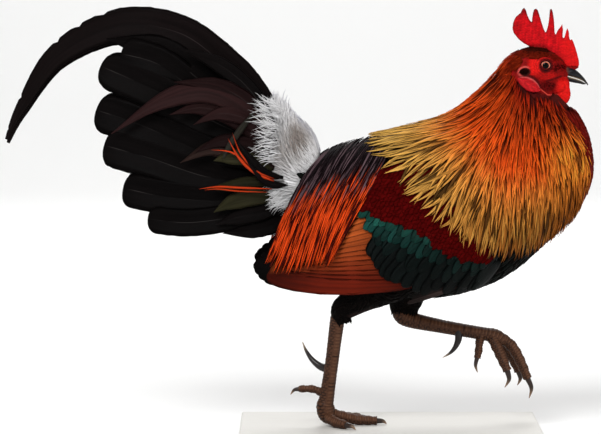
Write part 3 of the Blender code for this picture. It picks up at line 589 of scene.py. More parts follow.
def makeSkin():
    shapes = [closedLoft(hullRings(body, 0, 10.2, 60, 64, skinPlan["depth"])),
              closedLoft(hullRings(tailRoot, 0, 4.6, 24, 48, skinPlan["depth"]))]
    for name, rows in thighRows.items():
        slim = np.array(rows, float) - (0, 0, 0, 1.8)
        lead = (0.0, 0.0, 1.0) if name == "Right" else (1.0, 0, 0)
        shapes.append(closedLoft(tubeRings(slim, 24, 32, lead)[0]))
    skin = melted("skin", shapes, skinPlan["voxel"], 3)
    x, _y, z = vertexPlaces(skin).T
    front = smoothStep(150, 215, z) * smoothStep(0, 60, x)
    rump = smoothStep(-62, -74, x) * smoothStep(185, 215, z)
    tint = blend(np.broadcast_to(skinPlan["dark"], (len(x), 3)), skinPlan["red"], front)
    setTint(skin, blend(tint, skinPlan["pale"], rump))
    finish = Finish("skin", 0.75, Specular_IOR_Level=0.1)
    grain = finish.noise(900.0, 3.0)
    colour = finish.shade(finish.tint()[0], grain * 0.5 + 0.7)
    material = finish.paint(colour, None, grain, 0.4, 0.0004)
    dress(skin, "black_plumage", material, "torso", "neck", "thigh_right", "thigh_left", "tail_root")
    print("skin", len(skin.data.polygons))


# hackles that lie over a cover between its guide lines
class Cover:
    def __init__(self, guides):
        s, phi = locate(drape, guides[..., 0], guides[..., 1])
        self.table = np.stack([s, phi], -1)

    # across runs over the guides and down along them, each from 0 to 1
    def place(self, across, down):
        lines, steps = self.table.shape[:2]
        found = curvedGrid(self.table, across * (lines - 1), down * (steps - 1))
        return found[..., 0], found[..., 1]


# height of the cape over the drape: it steps up over the wing
def capeFace(across, down):
    wing = smoothStep(0.06, 0.2, across) * (1 - smoothStep(0.62, 0.78, across))
    wing = wing * smoothStep(0.42, 0.72, down)
    breast = smoothStep(0.62, 0.86, across) * smoothStep(0.08, 0.3, down)
    breast = breast * (1 - 0.7 * smoothStep(0.6, 0.9, down))
    back = smoothStep(0.22, 0.06, across) * (4.6 - 1.2 * smoothStep(0.2, 0.5, down))
    throat = smoothStep(0.4, 0.55, across) * smoothStep(0.14, 0.02, down)
    return 0.6 + 6.0 * wing + 2.6 * breast + back + 2.4 * throat


def saddleFace(across, down):
    return 5.4 + 1.2 * smoothStep(0.1, 0.4, down)


hackleTimes = np.array([0, 0.22, 0.45, 0.66, 0.84, 1.0])
capePlan = {"many": 1300, "roots": 0.69, "length": (0.12, 0.34), "half": (0.7, 2.0), "lift": 4.0,
            "spread": 3.2, "bulk": 3.2, "stray": 0.017, "reach": (0.98, 0.915), "nape": lin(150, 28, 9),
            "neck": lin(222, 78, 20), "low": lin(240, 150, 60), "straw": lin(252, 196, 96),
            "hem": lin(206, 112, 46), "front": lin(240, 134, 44), "gap": lin(40, 12, 5)}
saddlePlan = {"many": 560, "roots": 0.66, "length": (0.32, 0.36), "half": (1.0, 1.35), "lift": 3.4,
              "spread": 1.4, "bulk": 2.0, "stray": 0.012, "reach": (1.0, 1.0), "back": lin(24, 13, 17),
              "streak": lin(108, 86, 92), "low": lin(246, 80, 24), "deep": lin(74, 12, 7)}


# brightness of a strand: dark at its root and full further down, sooner near the head, varied by chance
def strandTone(chance, root):
    start = 0.02 + 0.38 * root[:, None]
    rise = 0.28 + 0.72 * smoothStep(start, start + 0.5, hackleTimes[None])
    return rise * (0.6 + 0.55 * chance[:, None])


def capeTint(across, down, chance):
    p = capePlan
    colour = blend(p["nape"], p["neck"], smoothStep(0.04, 0.34, down))
    colour = blend(colour, p["low"], smoothStep(0.46, 0.78, down))
    rear = (1 - smoothStep(0.12, 0.55, across)) * smoothStep(0.6, 0.88, down)
    strawy = np.maximum(rear, 0.55 * smoothStep(0.62, 0.9, down) * (chance[:, None] > 0.6))
    colour = blend(colour, p["straw"], strawy)
    colour = blend(colour, p["hem"], smoothStep(0.84, 1.0, down) * smoothStep(0.36, 0.6, across))
    colour = blend(colour, p["front"], smoothStep(0.62, 0.85, across) * smoothStep(0.2, 0.5, down))
    # painted shade: a share of the strands, more of them lower down, are painted near-black for the dark
    # gaps between the strands
    gaps = (chance[:, None] * 9.7) % 1 < 0.05 + 0.12 * smoothStep(0.5, 0.8, down)
    colour = blend(colour, p["gap"], 0.85 * gaps)
    # painted light: bright near the nape and brightest half way down, and painted shade again towards the
    # lower edge in front
    paintedLight = 0.8 + 0.75 * np.exp(-(((down - 0.5) / 0.17) ** 2)) + 0.5 * np.exp(-((down / 0.25) ** 2))
    paintedLight = paintedLight - 0.32 * smoothStep(0.66, 0.85, down) * smoothStep(0.3, 0.6, across)
    return np.minimum(colour * (paintedLight * strandTone(chance, down[:, 0]))[..., None], 0.9)


def saddleTint(across, down, chance):
    p = saddlePlan
    upper = blend(p["back"], p["streak"], smoothStep(0.5, 0.95, chance)[:, None] + 0 * down)
    start = 0.28 + 0.13 * (1 - across) + 0.2 * ((chance[:, None] * 5.1) % 1)
    lower = blend(p["low"], p["deep"], ((chance[:, None] * 7.3) % 1 > 0.66) + 0 * down)
    colour = blend(upper, lower, smoothStep(start, start + 0.12, down))
    return colour * strandTone((chance * 3.7) % 1, down[:, 0])[..., None]


# Roots are spread evenly over the widening cover: the share above d is proportional to
# d + (spread - 1) d d / 2, and their places across step by the golden ratio
def makeHackles(name, guides, face, tintOf, plan, side, slot, material, nodes=(), seed=1):
    chance = np.random.default_rng(seed)
    many = plan["many"]
    share = (np.arange(many) + 0.5) / many
    bend = (plan["spread"] - 1) / 2
    total = plan["roots"] + bend * plan["roots"] ** 2
    root = (-1 + np.sqrt(1 + 4 * bend * share * total)) / (2 * bend)
    across = (np.arange(many) * golden + 0.1 * chance.random(many)) % 1
    grade = smoothStep(0, plan["roots"], root)
    length = ranged(plan["length"], grade) * chance.uniform(0.8, 1.06, many)
    length = np.minimum(length, 1.0 - 0.05 * chance.random(many) - root)
    t = hackleTimes[None]
    down = root[:, None] + length[:, None] * t
    shift = chance.normal(0, plan["stray"], many)[:, None] * t**1.5
    reach = ranged(plan["reach"], smoothStep(0.0, 0.3, down))
    where = np.clip(across[:, None] * reach + shift, 0, 1)
    cover = Cover(guides)
    s, phi = cover.place(where, down)
    lifted = plan["lift"] * (0.35 + 0.65 * grade[:, None]) * t**1.3
    level = -1.9 + chance.uniform(-0.35, 0.35, many)[:, None] + lifted
    # near the midline the strands fill the coat's whole depth
    level = level - plan["bulk"] * chance.random(many)[:, None] ** 2 * smoothStep(0.3, 0.12, where)
    path, n = over(drape, s, phi, side, face(where, down) + level)
    half = ranged(plan["half"], grade) * chance.uniform(0.8, 1.2, many)
    shape = np.array([0.5, 0.85, 1.0, 0.9, 0.5, 0.02])
    roll = np.radians(chance.normal(4, 6, many) * side)[:, None, None]
    sideways = unit(np.cross(unit(np.gradient(path, axis=1)), n))
    n = n * np.cos(roll) + sideways * np.sin(roll)
    tints = tintOf(where, down, chance.random(many))
    cells = patches(*unwrapped(drape, s[:, 0], phi[:, 0], side))
    return feathers(name, path, n, half[:, None] * shape, tints, cells, slot, material, nodes, thick=0.3,
                    cup=0.15, seed=seed)


def makeCapes():
    material = plumeFinish("hackleFeathers", 0.5, stripe=0.35, stripeWidth=0.14, streak=0.4, barbs=40,
                           gloss=0.04, rim=0.9, rimFrom=0.58, fade=(0.55, 0.85))
    for name, side in sides.items():
        makeHackles(f"cape{name}", capeGuides, capeFace, capeTint, capePlan, side, "hackle", material, (),
                    11 + side)
    material = plumeFinish("saddleFeathers", 0.5, streak=0.5, barbs=40, gloss=0.05, rim=0.92, rimFrom=0.4)
    for name, side in sides.items():
        makeHackles(f"saddle{name}", saddleGuides, saddleFace, saddleTint, saddlePlan, side, "saddle",
                    material, (f"saddle_{name.lower()}",), 21 + side)
    print("cape and saddle")


# broad rounded feathers of breast, belly and flanks, and the maroon strip up the front of the neck
coatPlan = {"many": 2300, "length": (9, 23), "half": (1.3, 4.6), "lift": 1.5, "breast": 4.7, "belly": 2.8,
            "black": lin(12, 7, 6), "green": lin(8, 14, 11), "maroon": lin(112, 18, 10)}
bodyTimes = np.array([0, 0.3, 0.6, 0.85, 1.0])


def makeCoat(name, side, material, seed):
    chance = np.random.default_rng(seed)
    many = coatPlan["many"]
    s = 10.1 - 10.0 * (np.arange(many) + 0.5) / many
    turn = (np.arange(many) * golden + 0.05 * chance.random(many)) % 1
    high = 1.02 + 0.5 * smoothStep(5.5, 8.5, s)
    phi = high + (math.pi + 0.03 - high) * turn
    grade = smoothStep(10.2, 5.0, s)
    length = ranged(coatPlan["length"], grade) * chance.uniform(0.8, 1.15, many)
    near = hullSkin(body, s + 0.05, phi, side) - hullSkin(body, s - 0.05, phi, side)
    ahead = np.linalg.norm(near, axis=-1) / 0.1  # millimetres from one station to the next
    t = bodyTimes[None]
    stations = s[:, None] - (length / np.maximum(ahead, 4.0))[:, None] * t
    angle = phi[:, None] + chance.normal(0, 0.02, many)[:, None] * t
    level = -2.0 + chance.uniform(-0.2, 0.2, many)[:, None] + coatPlan["lift"] * t
    breast = smoothStep(1.9, 2.8, phi)[:, None] * smoothStep(4.8, 7.8, stations)
    breast = breast * smoothStep(10.6, 9.0, stations)
    belly = smoothStep(2.2, 2.9, phi)[:, None] * smoothStep(2.2, 3.0, stations)
    belly = belly * smoothStep(5.4, 4.5, stations)
    level = level + coatPlan["breast"] * breast + coatPlan["belly"] * belly
    path, n = over(body, np.maximum(stations, 0.0), angle, side, level)
    # where the hull ends, the feather goes on straight
    beyond = np.minimum(stations, 0.0) * ahead[:, None]
    path = path + beyond[..., None] * np.array((0.9, 0.0, -0.25))
    half = ranged(coatPlan["half"], grade) * chance.uniform(0.85, 1.15, many)
    shape = np.array([0.5, 0.9, 1.0, 0.75, 0.15])
    z = path[..., 2]
    ragged = z + 12 * (chance.random(many)[:, None] - 0.5)
    maroon = smoothStep(180, 208, ragged) * smoothStep(20, 70, path[..., 0])
    tint = blend(coatPlan["black"], coatPlan["green"], chance.random(many)[:, None] + 0 * z)
    tint = blend(tint, coatPlan["maroon"], maroon)
    tint = tint * (0.45 + 0.7 * t[..., None]) * chance.uniform(0.7, 1.2, many)[:, None, None]
    cells = patches(*unwrapped(body, s, phi, side))
    # the bare face ends where the hackles begin
    edge = np.interp(path[:, 0, 0], [112, 114, 124, 138, 150, 158], [324, 312, 305, 301.5, 298, 294])
    keep = (path[:, 0, 2] < edge - 1.5) & (path[:, -1, 0] > -84)
    feathers(name, path[keep], n[keep], (half[:, None] * shape)[keep], tint[keep], cells[keep],
             "black_plumage", material, thick=0.3, cup=0.1, seed=seed)


# small dark feathers down each thigh, which end in a fringe over the hock
thighPlan = {"many": 900, "length": 13, "half": 2.0, "lift": 1.1, "colour": lin(11, 7, 6)}
thighCoatRows = {
    "Right": [(22, -26, 152, 24), (0, -27, 136, 17), (-27.5, -27.5, 124, 13.2), (-43.4, -26.5, 114, 10.4),
              (-41.8, -26, 101, 7.8)],
    "Left": [(24, 26, 148, 25), (18, 27, 128, 18.5), (14.5, 27.5, 113, 14.8), (14, 26.5, 106, 12.6)]}


def makeThighCoat(name, rows, material, seed):
    chance = np.random.default_rng(seed)
    many = thighPlan["many"]
    last = len(rows) - 1
    s = 0.15 + (last - 0.5) * (np.arange(many) + 0.5) / many
    angle = 2 * math.pi * ((np.arange(many) * golden) % 1)
    t = bodyTimes[None]
    table = np.array(rows, float)
    speed = np.linalg.norm(curve(table, s + 0.02)[:, :3] - curve(table, s - 0.02)[:, :3], axis=1) / 0.04
    speed = np.maximum(speed, 8.0)
    length = thighPlan["length"] * chance.uniform(0.7, 1.2, many) * (1 - 0.6 * s / last)
    stations = s[:, None] + (length / speed)[:, None] * t
    row = curve(table, stations)
    ends = np.minimum(stations, last - 0.02)
    tangent = (curve(table, ends + 0.02) - curve(table, ends - 0.02))[..., :3]
    tangent = unit(tangent)
    past = np.maximum(stations - last, 0) * speed[:, None]
    centre = row[..., :3] + tangent * past[..., None]
    front = np.array((1.0, 0.0, 0.4))
    ahead = unit(front - tangent * np.sum(tangent * front, -1, keepdims=True))
    across = np.cross(tangent, ahead)
    turn = (angle + chance.normal(0, 0.05, many))[:, None, None]
    n = ahead * np.cos(turn) + across * np.sin(turn)
    radius = row[..., 3] - 1.6 + thighPlan["lift"] * t - past * 0.15
    path = centre + n * radius[..., None]
    half = thighPlan["half"] * chance.uniform(0.8, 1.2, many) * (1 - 0.5 * s / last)
    shape = np.array([0.5, 0.9, 1.0, 0.6, 0.08])
    tint = np.broadcast_to(thighPlan["colour"], path.shape) * chance.uniform(0.6, 1.5, many)[:, None, None]
    cells = patches(0.02 + 0.96 * s / last, angle / (2 * math.pi))
    feathers(name, path, n, half[:, None] * shape, tint, cells, "black_plumage", material, thick=0.3,
             seed=seed)


def makeBodyCoat():
    material = plumeFinish("bodyFeathers", 0.6, streak=0.5, barbs=30, gloss=0.04, rim=0.2)
    for k, (name, side) in enumerate(sides.items()):
        makeCoat(f"breast{name}", side, material, 31 + k)
        makeThighCoat(f"thighCoat{name}", thighCoatRows[name], material, 41 + k)
    print("body coat")


# Folded wing. Each group: lines of root and tip in side view from its first to its last feather, with a
# middle that bends the feather, its half width, heights over the drape and colours from first to last
wingTimes = np.array([0, 0.15, 0.35, 0.55, 0.74, 0.86, 0.93, 0.965, 0.988, 1.0])
quillShape = np.array([0.55, 0.8, 0.95, 1.0, 1.0, 0.97, 0.9, 0.76, 0.5, 0.08])
covertShape = np.array([0.55, 0.8, 0.95, 1.0, 0.96, 0.8, 0.6, 0.42, 0.24, 0.06])
wingPlan = {
    "primaries": {"many": 7, "root": [(12, 139), (-20, 149)], "middle": [(-62, 140), (-72, 154)],
                  "tip": [(-113.5, 143.5), (-109, 169)], "bow": (-10.8, 0), "half": 6.0,
                  "height": (0.3, 1.0), "colours": (lin(10, 7, 7), lin(14, 8, 8)), "fan": 0.3},
    "outerPrimary": {"many": 2, "root": [(60, 140), (60, 138)], "middle": [(38, 133.5), (38, 130.5)],
                     "tip": [(18, 127), (14, 123)], "half": 3.1, "height": (3.2, 3.6),
                     "colours": (lin(36, 27, 25), lin(58, 45, 42)), "fan": 0.2},
    "secondaries": {"many": 14, "root": [(28, 141), (-4, 208)], "middle": [(-56, 137.5), (-56, 181.5)],
                    "tip": [(-110, 147), (-103, 152)], "half": 7.8, "height": (2.0, 2.9),
                    "colours": (lin(98, 25, 10), lin(204, 98, 42)), "fan": 0.15},
    "greaterLow": {"many": 13, "root": [(6, 200), (90, 160)], "middle": [(-10, 180), (80, 146)],
                   "tip": [(-21, 166), (68, 134)], "bow": (-14, -13), "half": 7.6, "height": (3.0, 4.2),
                   "colours": (lin(4, 10, 9), lin(3, 5, 5)), "fan": 0.2},
    "greaterHigh": {"many": 13, "root": [(12, 207), (94, 160)], "middle": [(-4, 191), (84, 147)],
                    "tip": [(-18, 178), (72, 135)], "bow": (-11, -3), "half": 7.4, "height": (3.2, 4.5),
                    "colours": (lin(5, 20, 18), lin(3, 7, 6)), "fan": 0.2},
    "tealLow": {"many": 17, "root": [(8, 212), (92, 166)], "middle": [(-9, 199), (84, 155)],
                "tip": [(-24, 188), (75, 143)], "bow": (-6, 2), "half": 5.8, "height": (3.5, 4.8),
                "colours": (lin(14, 56, 50), lin(5, 14, 12)), "fan": 0.1},
    "tealHigh": {"many": 19, "root": [(-2, 218), (90, 178)], "middle": [(-15, 208), (84, 165)],
                 "tip": [(-29, 197), (76, 152)], "bow": (-3, 4), "half": 5.2, "height": (3.8, 5.2),
                 "colours": (lin(22, 72, 62), lin(6, 16, 14)), "fan": 0.1}}


def wingGroup(key, side, chance):
    plan = wingPlan[key]
    short = key[:4] in ("grea", "teal")
    many = plan["many"]
    k = np.linspace(0, 1, many)
    ends = [np.array(plan[row], float) for row in ("root", "middle", "tip")]
    lines = [ranged(e, k[:, None]) for e in ends]
    sag = np.array(plan.get("bow", (0, 0)), float) * np.sin(math.pi * k)[:, None]
    lines = [line + sag for line in lines]
    t = wingTimes[None, :, None]
    r, m, e = (line[:, None] for line in lines)
    flat = r * (1 - t) ** 2 + 2 * t * (1 - t) * (2 * m - (r + e) / 2) + e * t**2
    flat = flat + chance.normal(0, 1.5 if short else 0.3, (many, 1, 2)) * t
    s, phi = locate(drape, flat[..., 0], flat[..., 1])
    level = ranged(plan["height"], wingTimes**0.9) + 0.6 * plan["fan"] * k[:, None]
    level = level + chance.uniform(-1, 1, (many, 1)) * (0.1 if short else 0.01)
    path, n = over(drape, s, phi, side, level)
    first, last = plan["colours"]
    # quills: painted shade towards the root, where the coverts above shade them, and darker ends towards
    # the tip; coverts grow lighter towards the tip
    along = 0.7 + 0.4 * wingTimes if short else 0.34 + 0.74 * np.exp(-(((wingTimes - 0.4) / 0.27) ** 2))
    tint = blend(first, last, k ** (0.6 if short else 1.6))[:, None] * along[None, :, None]
    vary = 0.5 if short else 0.14
    tint = tint * chance.uniform(1 - vary, 1 + vary, (many, 1, 1))
    half = plan["half"] * chance.uniform(0.94, 1.06, (many, 1)) * (covertShape if short else quillShape)
    return path, n, half, tint


# normals turned about the shaft
def rolled(path, normals, degrees):
    sideways = unit(np.cross(unit(np.gradient(path, axis=1)), normals))
    turn = np.radians(degrees)
    return unit(normals) * np.cos(turn) + sideways * np.sin(turn)


# degrees that each feather rolls about its shaft, so that it lies over the next one
wingRoll = {"quills": 2.6, "coverts": 5}

# small velvet coverts, which fill the wing above the teal band in rows
velvetPlan = {"many": 1250, "box": (-36, 84, 156, 250), "length": 13, "half": 2.9, "colour": lin(76, 5, 5)}


def velvet(side, chance):
    p = velvetPlan
    x0, x1, z0, z1 = p["box"]
    many = p["many"]
    f = (np.arange(many) + 0.5) / many
    x, z = ranged((x0, x1), (np.arange(many) * golden) % 1), ranged((z0, z1), f)
    # the teal band's upper border in side view: the line that the lowest tips keep to
    border = np.interp(x, [-30, -20, -5, 8, 23, 47, 61, 84],
                       [206, 201, 194.5, 192.5, 186.5, 168.5, 163, 157])
    keep = (z > border + 2) & (z < 246 - 0.35 * np.abs(x - 20) - np.maximum(x - 55, 0))
    x, z = x[keep], z[keep]
    t = bodyTimes[None]
    run = p["length"] * chance.uniform(0.8, 1.2, len(x))[:, None] * t
    s, phi = locate(drape, x[:, None] + 6 - 0.72 * run, z[:, None] + 6 - 0.69 * run)
    path, n = over(drape, s, phi, side, 5.2 + 0.6 * t + chance.uniform(-0.1, 0.1, (len(x), 1)))
    half = p["half"] * chance.uniform(0.85, 1.2, (len(x), 1)) * np.array([0.6, 0.95, 1.0, 0.75, 0.2])
    tint = p["colour"] * chance.uniform(0.75, 1.12, (len(x), 1, 1)) * (0.8 + 0.25 * t[..., None])
    return path, n, half, tint, patches(*unwrapped(drape, s[:, 0], phi[:, 0], side))


def makeWings():
    flight = plumeFinish("flightFeathers", 0.55, streak=0.4, barbs=110, rim=0.38, rimFrom=0.9, gloss=0.04)
    covert = plumeFinish("wingCoverts", 0.42, streak=0.6, barbs=45, rim=0.88, rimFrom=0.72, gloss=0.05)
    soft = plumeFinish("velvetCoverts", 0.8, streak=0.25, barbs=25, gloss=0.01)
    c = (-1, -0.6, -0.2, 0, 0.2, 0.6, 1)
    for name, side in sides.items():
        chance = np.random.default_rng(50 + side)
        groups = [wingGroup(key, side, chance) for key in ("primaries", "outerPrimary", "secondaries")]
        path, n, half, tint = (np.concatenate(g) for g in zip(*groups))
        feathers(f"quills{name}", path, rolled(path, n, wingRoll["quills"] * side), half, tint,
                 largeCells(len(path)), "wing", flight, (f"wing_{name.lower()}",), c=c, thick=0.2, cup=0.03,
                 full=True, seed=51)
        keys = ("greaterLow", "greaterHigh", "tealLow", "tealHigh")
        groups = [wingGroup(key, side, chance) for key in keys]
        path, n, half, tint = (np.concatenate(g) for g in zip(*groups))
        feathers(f"coverts{name}", path, rolled(path, n, wingRoll["coverts"] * side), half, tint,
                 largeCells(len(path)), "wing", covert, c=c, thick=0.25, cup=0.05, full=True, seed=52)
        path, n, half, tint, cells = velvet(side, chance)
        feathers(f"velvet{name}", path, n, half, tint, cells, "wing", soft, thick=0.06, cup=0.02, seed=53)
    print("wings")


# tail feathers in side view: rows of the shaft, width, depth at root and tip, shape, colour
tailBlack, tailPlum, tailOlive = lin(7, 5, 5), lin(38, 22, 22), lin(42, 40, 25)
rectrices = [
    ([(-104, 262), (-171, 306), (-207, 332), (-241, 342)], 34),
    ([(-103, 256), (-160, 282), (-210, 309), (-259, 331)], 36),
    ([(-101, 240), (-160, 251), (-220, 277), (-263, 292)], 37),
    ([(-99, 226), (-160, 231), (-214, 248.5), (-256, 260.5)], 36),
    ([(-98, 214), (-156, 210.5), (-204, 215), (-239, 222.5)], 32),
    ([(-99, 207), (-135, 197.5), (-180, 191.5), (-217, 195)], 25)]
sickle = [(-98, 268), (-115, 300), (-148, 331), (-189, 360.2), (-243, 366.9), (-298, 340.6), (-331, 293),
          (-344, 265)]
smallTail = [
    ([(-104, 268), (-168, 316), (-207, 345), (-254, 355)], 34, (7, 10), tailBlack),
    ([(-104, 262), (-130, 293), (-166, 309), (-206, 299), (-249, 271)], 22, (17, 26.5), tailPlum),
    ([(-104, 272), (-130, 300), (-158, 314), (-193, 317)], 17, (16, 23), tailPlum * 0.6),
    ([(-108, 256), (-138, 283), (-168, 294), (-197, 288)], 16, (17, 24), tailPlum * 0.75),
    ([(-106, 262), (-128, 283), (-152, 289), (-176, 279)], 14, (18.5, 25), tailPlum * 0.9),
    ([(-104, 276), (-126, 310), (-156, 334), (-190, 347)], 16, (14, 19), tailBlack * 1.5),
    ([(-106, 250), (-128, 262), (-152, 264), (-175, 254)], 13, (19, 26), tailPlum * 0.6),
    ([(-104, 240), (-134, 252), (-160, 258), (-188, 245)], 16, (19, 26), lin(36, 25, 22)),
    ([(-106, 238), (-128, 249), (-145, 250), (-158, 247)], 14, (20, 27.5), tailOlive),
    ([(-103, 226), (-126, 228), (-146, 224), (-164, 222)], 10, (20.5, 27), tailOlive * 0.7),
    ([(-103, 214), (-124, 214), (-142, 210), (-158, 201)], 16, (20.5, 28), tailOlive * 0.85),
    ([(-100, 204), (-118, 200), (-138, 196), (-156, 190)], 16, (20, 26), tailBlack * 1.6),
    ([(-96, 196), (-108, 188), (-128, 184), (-150, 182)], 15, (19, 25), tailBlack * 1.3),
    ([(-122, 290), (-136, 272), (-146, 256), (-150, 248)], 6, (23, 27), lin(40, 38, 33)),
    ([(-96, 232), (-112, 236), (-126, 250), (-140, 268)], 8, (26.5, 28.5), tailBlack * 1.4),
    ([(-92, 226), (-106, 226), (-118, 234), (-130, 250)], 7, (27, 29), tailBlack * 1.6)]
strays = [
    ([(-104, 229), (-119, 235), (-134, 248), (-145, 267)], 1.7),
    ([(-106, 230), (-124, 239), (-140, 254), (-160, 257)], 1.2),
    ([(-104, 231), (-120, 238), (-134, 254), (-141, 272)], 1.0),
    ([(-106, 222), (-134, 223), (-154, 224), (-171, 222)], 1.2),
    ([(-110, 219), (-136, 220), (-154, 222), (-166, 221)], 0.8)]
tailPlan = {"fan": (7.5, 12.5), "fanStep": 2.4, "strays": (27.5, 29.5), "orange": lin(196, 58, 18)}
sicklePlan = {"half": 16.5, "stations": 120, "start": 2.2, "spread": 6, "leftDrop": 4,
              "colour": lin(14, 9, 9), "slits": (0.6, 0.65, 0.7, 0.83, 0.94), "slitDepth": 0.28,
              "slitWidth": 0.004}


def bluntTail(t):
    rise = 0.25 + 0.75 * smoothStep(0.0, 0.4, t)
    return rise * np.sqrt(np.clip(1 - np.clip((t - 0.87) / 0.131, 0, 1) ** 2, 0.0016, 1))


def pointedTail(t):
    return (0.35 + 0.65 * smoothStep(0, 0.3, t)) * (1 - 0.97 * smoothStep(0.52, 1.03, t) ** 1.2)


# feathers that stand in the tail's upright plane, at a distance from the midline
def tailGroup(side, specs, shape, stations, normalTilt, chance):
    t = 1 - (1 - np.linspace(0, 1, stations)) ** 1.6
    flat = np.stack([through(rows, t) for rows, _w, _d, _c in specs])
    depth = np.stack([ranged(d, t) for _r, _w, d, _c in specs])
    path = np.stack([flat[..., 0], side * depth, flat[..., 1]], -1)
    n = np.zeros_like(path) + unit(np.array((0.0, side, normalTilt)))
    half = np.array([w / 2 for _r, w, _d, _c in specs])[:, None] * shape(t)
    tint = np.stack([np.broadcast_to(c, (stations, 3)) for *_r, c in specs])
    tint = tint * (0.8 + 0.3 * t[None, :, None]) * chance.uniform(0.9, 1.1, (len(specs), 1, 1))
    return path, n, half, tint


# a vane's width with uneven edges: the outermost columns vary by chance
def raggedEdges(shape, c, amount, chance):
    return 1 + amount * chance.normal(0, 1, shape + (len(c),)) * (np.abs(np.array(c)) > 0.99)


def makeTail():
    dark = plumeFinish("tailFeathers", 0.42, streak=0.5, barbs=150, shaft=lin(46, 43, 42), gloss=0.03,
                       rim=-0.5, rimFrom=0.9)
    sickleFinish = plumeFinish("sickleFeathers", 0.4, streak=0.5, barbs=230, shaft=lin(44, 38, 38),
                               gloss=0.03, rim=-0.3, rimFrom=0.9)
    stray = plumeFinish("strayFeathers", 0.5, streak=0.6, barbs=40, rim=0.7, rimFrom=0.5)
    c = (-1, -0.7, -0.35, -0.06, 0, 0.06, 0.35, 0.7, 1)
    for name, side in sides.items():
        chance = np.random.default_rng(60 + side)
        low = name.lower()
        inner, outer = tailPlan["fan"]
        steps = tailPlan["fanStep"] * np.arange(len(rectrices))
        specs = [(*row, (inner + step, outer + step), tailBlack) for row, step in zip(rectrices, steps)]
        path, n, half, tint = tailGroup(side, specs, bluntTail, 34, 0.1, chance)
        feathers(f"tailFan{name}", path, n, half, tint, largeCells(len(specs)), "tail", dark,
                 (f"tail_fan_{low}",), c=c, thick=0.5, cup=0.06, full=True, seed=61,
                 edge=raggedEdges(half.shape, c, 0.012, chance))
        path, n, half, tint = tailGroup(side, smallTail, pointedTail, 22, 0.15, chance)
        feathers(f"tailCoverts{name}", path, n, half, tint, largeCells(len(smallTail)), "tail", dark,
                 (f"tail_coverts_{low}",), c=c, thick=0.45, cup=0.16, full=True, seed=62,
                 edge=raggedEdges(half.shape, c, 0.02, chance))
        specs = [(rows, 2 * w, tailPlan["strays"], tailPlan["orange"]) for rows, w in strays]
        path, n, half, tint = tailGroup(side, specs, pointedTail, 14, 0.2, chance)
        feathers(f"strays{name}", path, n, half, tint, largeCells(len(specs)), "saddle", stray, thick=0.3,
                 seed=63)
        makeSickle(name, side, sickleFinish, c, chance)
    print("tail")


# the long sickle, with slits cut into its outer edge
def makeSickle(name, side, material, c, chance):
    p = sicklePlan
    low = name.lower()
    t = np.linspace(0, 1, p["stations"])
    rows = np.array(sickle, float)
    rows[:, 1] -= np.linspace(0, p["leftDrop"] if side == left else 0, len(rows))
    flat = through(rows, t)
    path = np.stack([flat[:, 0], side * (p["start"] + p["spread"] * t), flat[:, 1]], -1)[None]
    half = p["half"] * (0.3 + 0.7 * smoothStep(0, 0.3, t)) * (1 - smoothStep(0.46, 1.05, t) * 0.93)
    edge = raggedEdges((1, p["stations"]), c, 0.01, chance)
    column = -1 if side == right else 0
    for slit in p["slits"]:
        edge[0, :, column] -= p["slitDepth"] * np.exp(-((t - slit) / p["slitWidth"]) ** 2)
    tint = np.broadcast_to(p["colour"], (1, p["stations"], 3)) * (0.9 + 0.3 * t[None, :, None])
    feathers(f"sickle{name}", path, np.broadcast_to((0.0, float(side), 0.0), path.shape), half[None],
             tint, largeCells(1), "tail", material, (f"sickle_{low}", f"sickle_tip_{low}"), c=c,
             thick=0.6, cup=0.05, full=True, seed=64, edge=edge)


# grey down over the tail's root: broad soft tufts under fine ones, which fan out from the
# saddle's edge; a tuft leaves the skin away from the fan's middle and swings by a slow wave over the dome
downPlan = {"fan": (-62, 14, 228), "grey": lin(158, 148, 142), "white": lin(255, 254, 255),
            "black": lin(12, 8, 8), "blue": lin(172, 178, 206),
            "layers": [(700, (12, 18), 2.0, -1.7, 0.14), (2500, (12, 21), 0.42, -1.1, 0.24)]}
# wisps by zone: how many, range of x and of z, the way they point, range of lengths, and tone
wispZones = [(170, (-110, -97), (246, 298), (-0.86, 0.28), (9, 21), 1.0),
             (190, (-101, -86), (206, 223), (-0.9, -0.2), (7, 14), 0.95)]
downTimes = np.array([0, 0.3, 0.55, 0.8, 1.0])


def downTuft(root, n, go, length, swing, curl, lift):
    around = unit(np.cross(n, go))
    t = downTimes[None, :, None]
    fall = np.array((0.0, 0.0, -0.12))
    reach = go[:, None] * t + around[:, None] * (swing * t + curl * t**2)
    reach = reach + n[:, None] * (lift * t - 0.12 * t**2)
    return root[:, None] + length * (reach + fall * t**2)


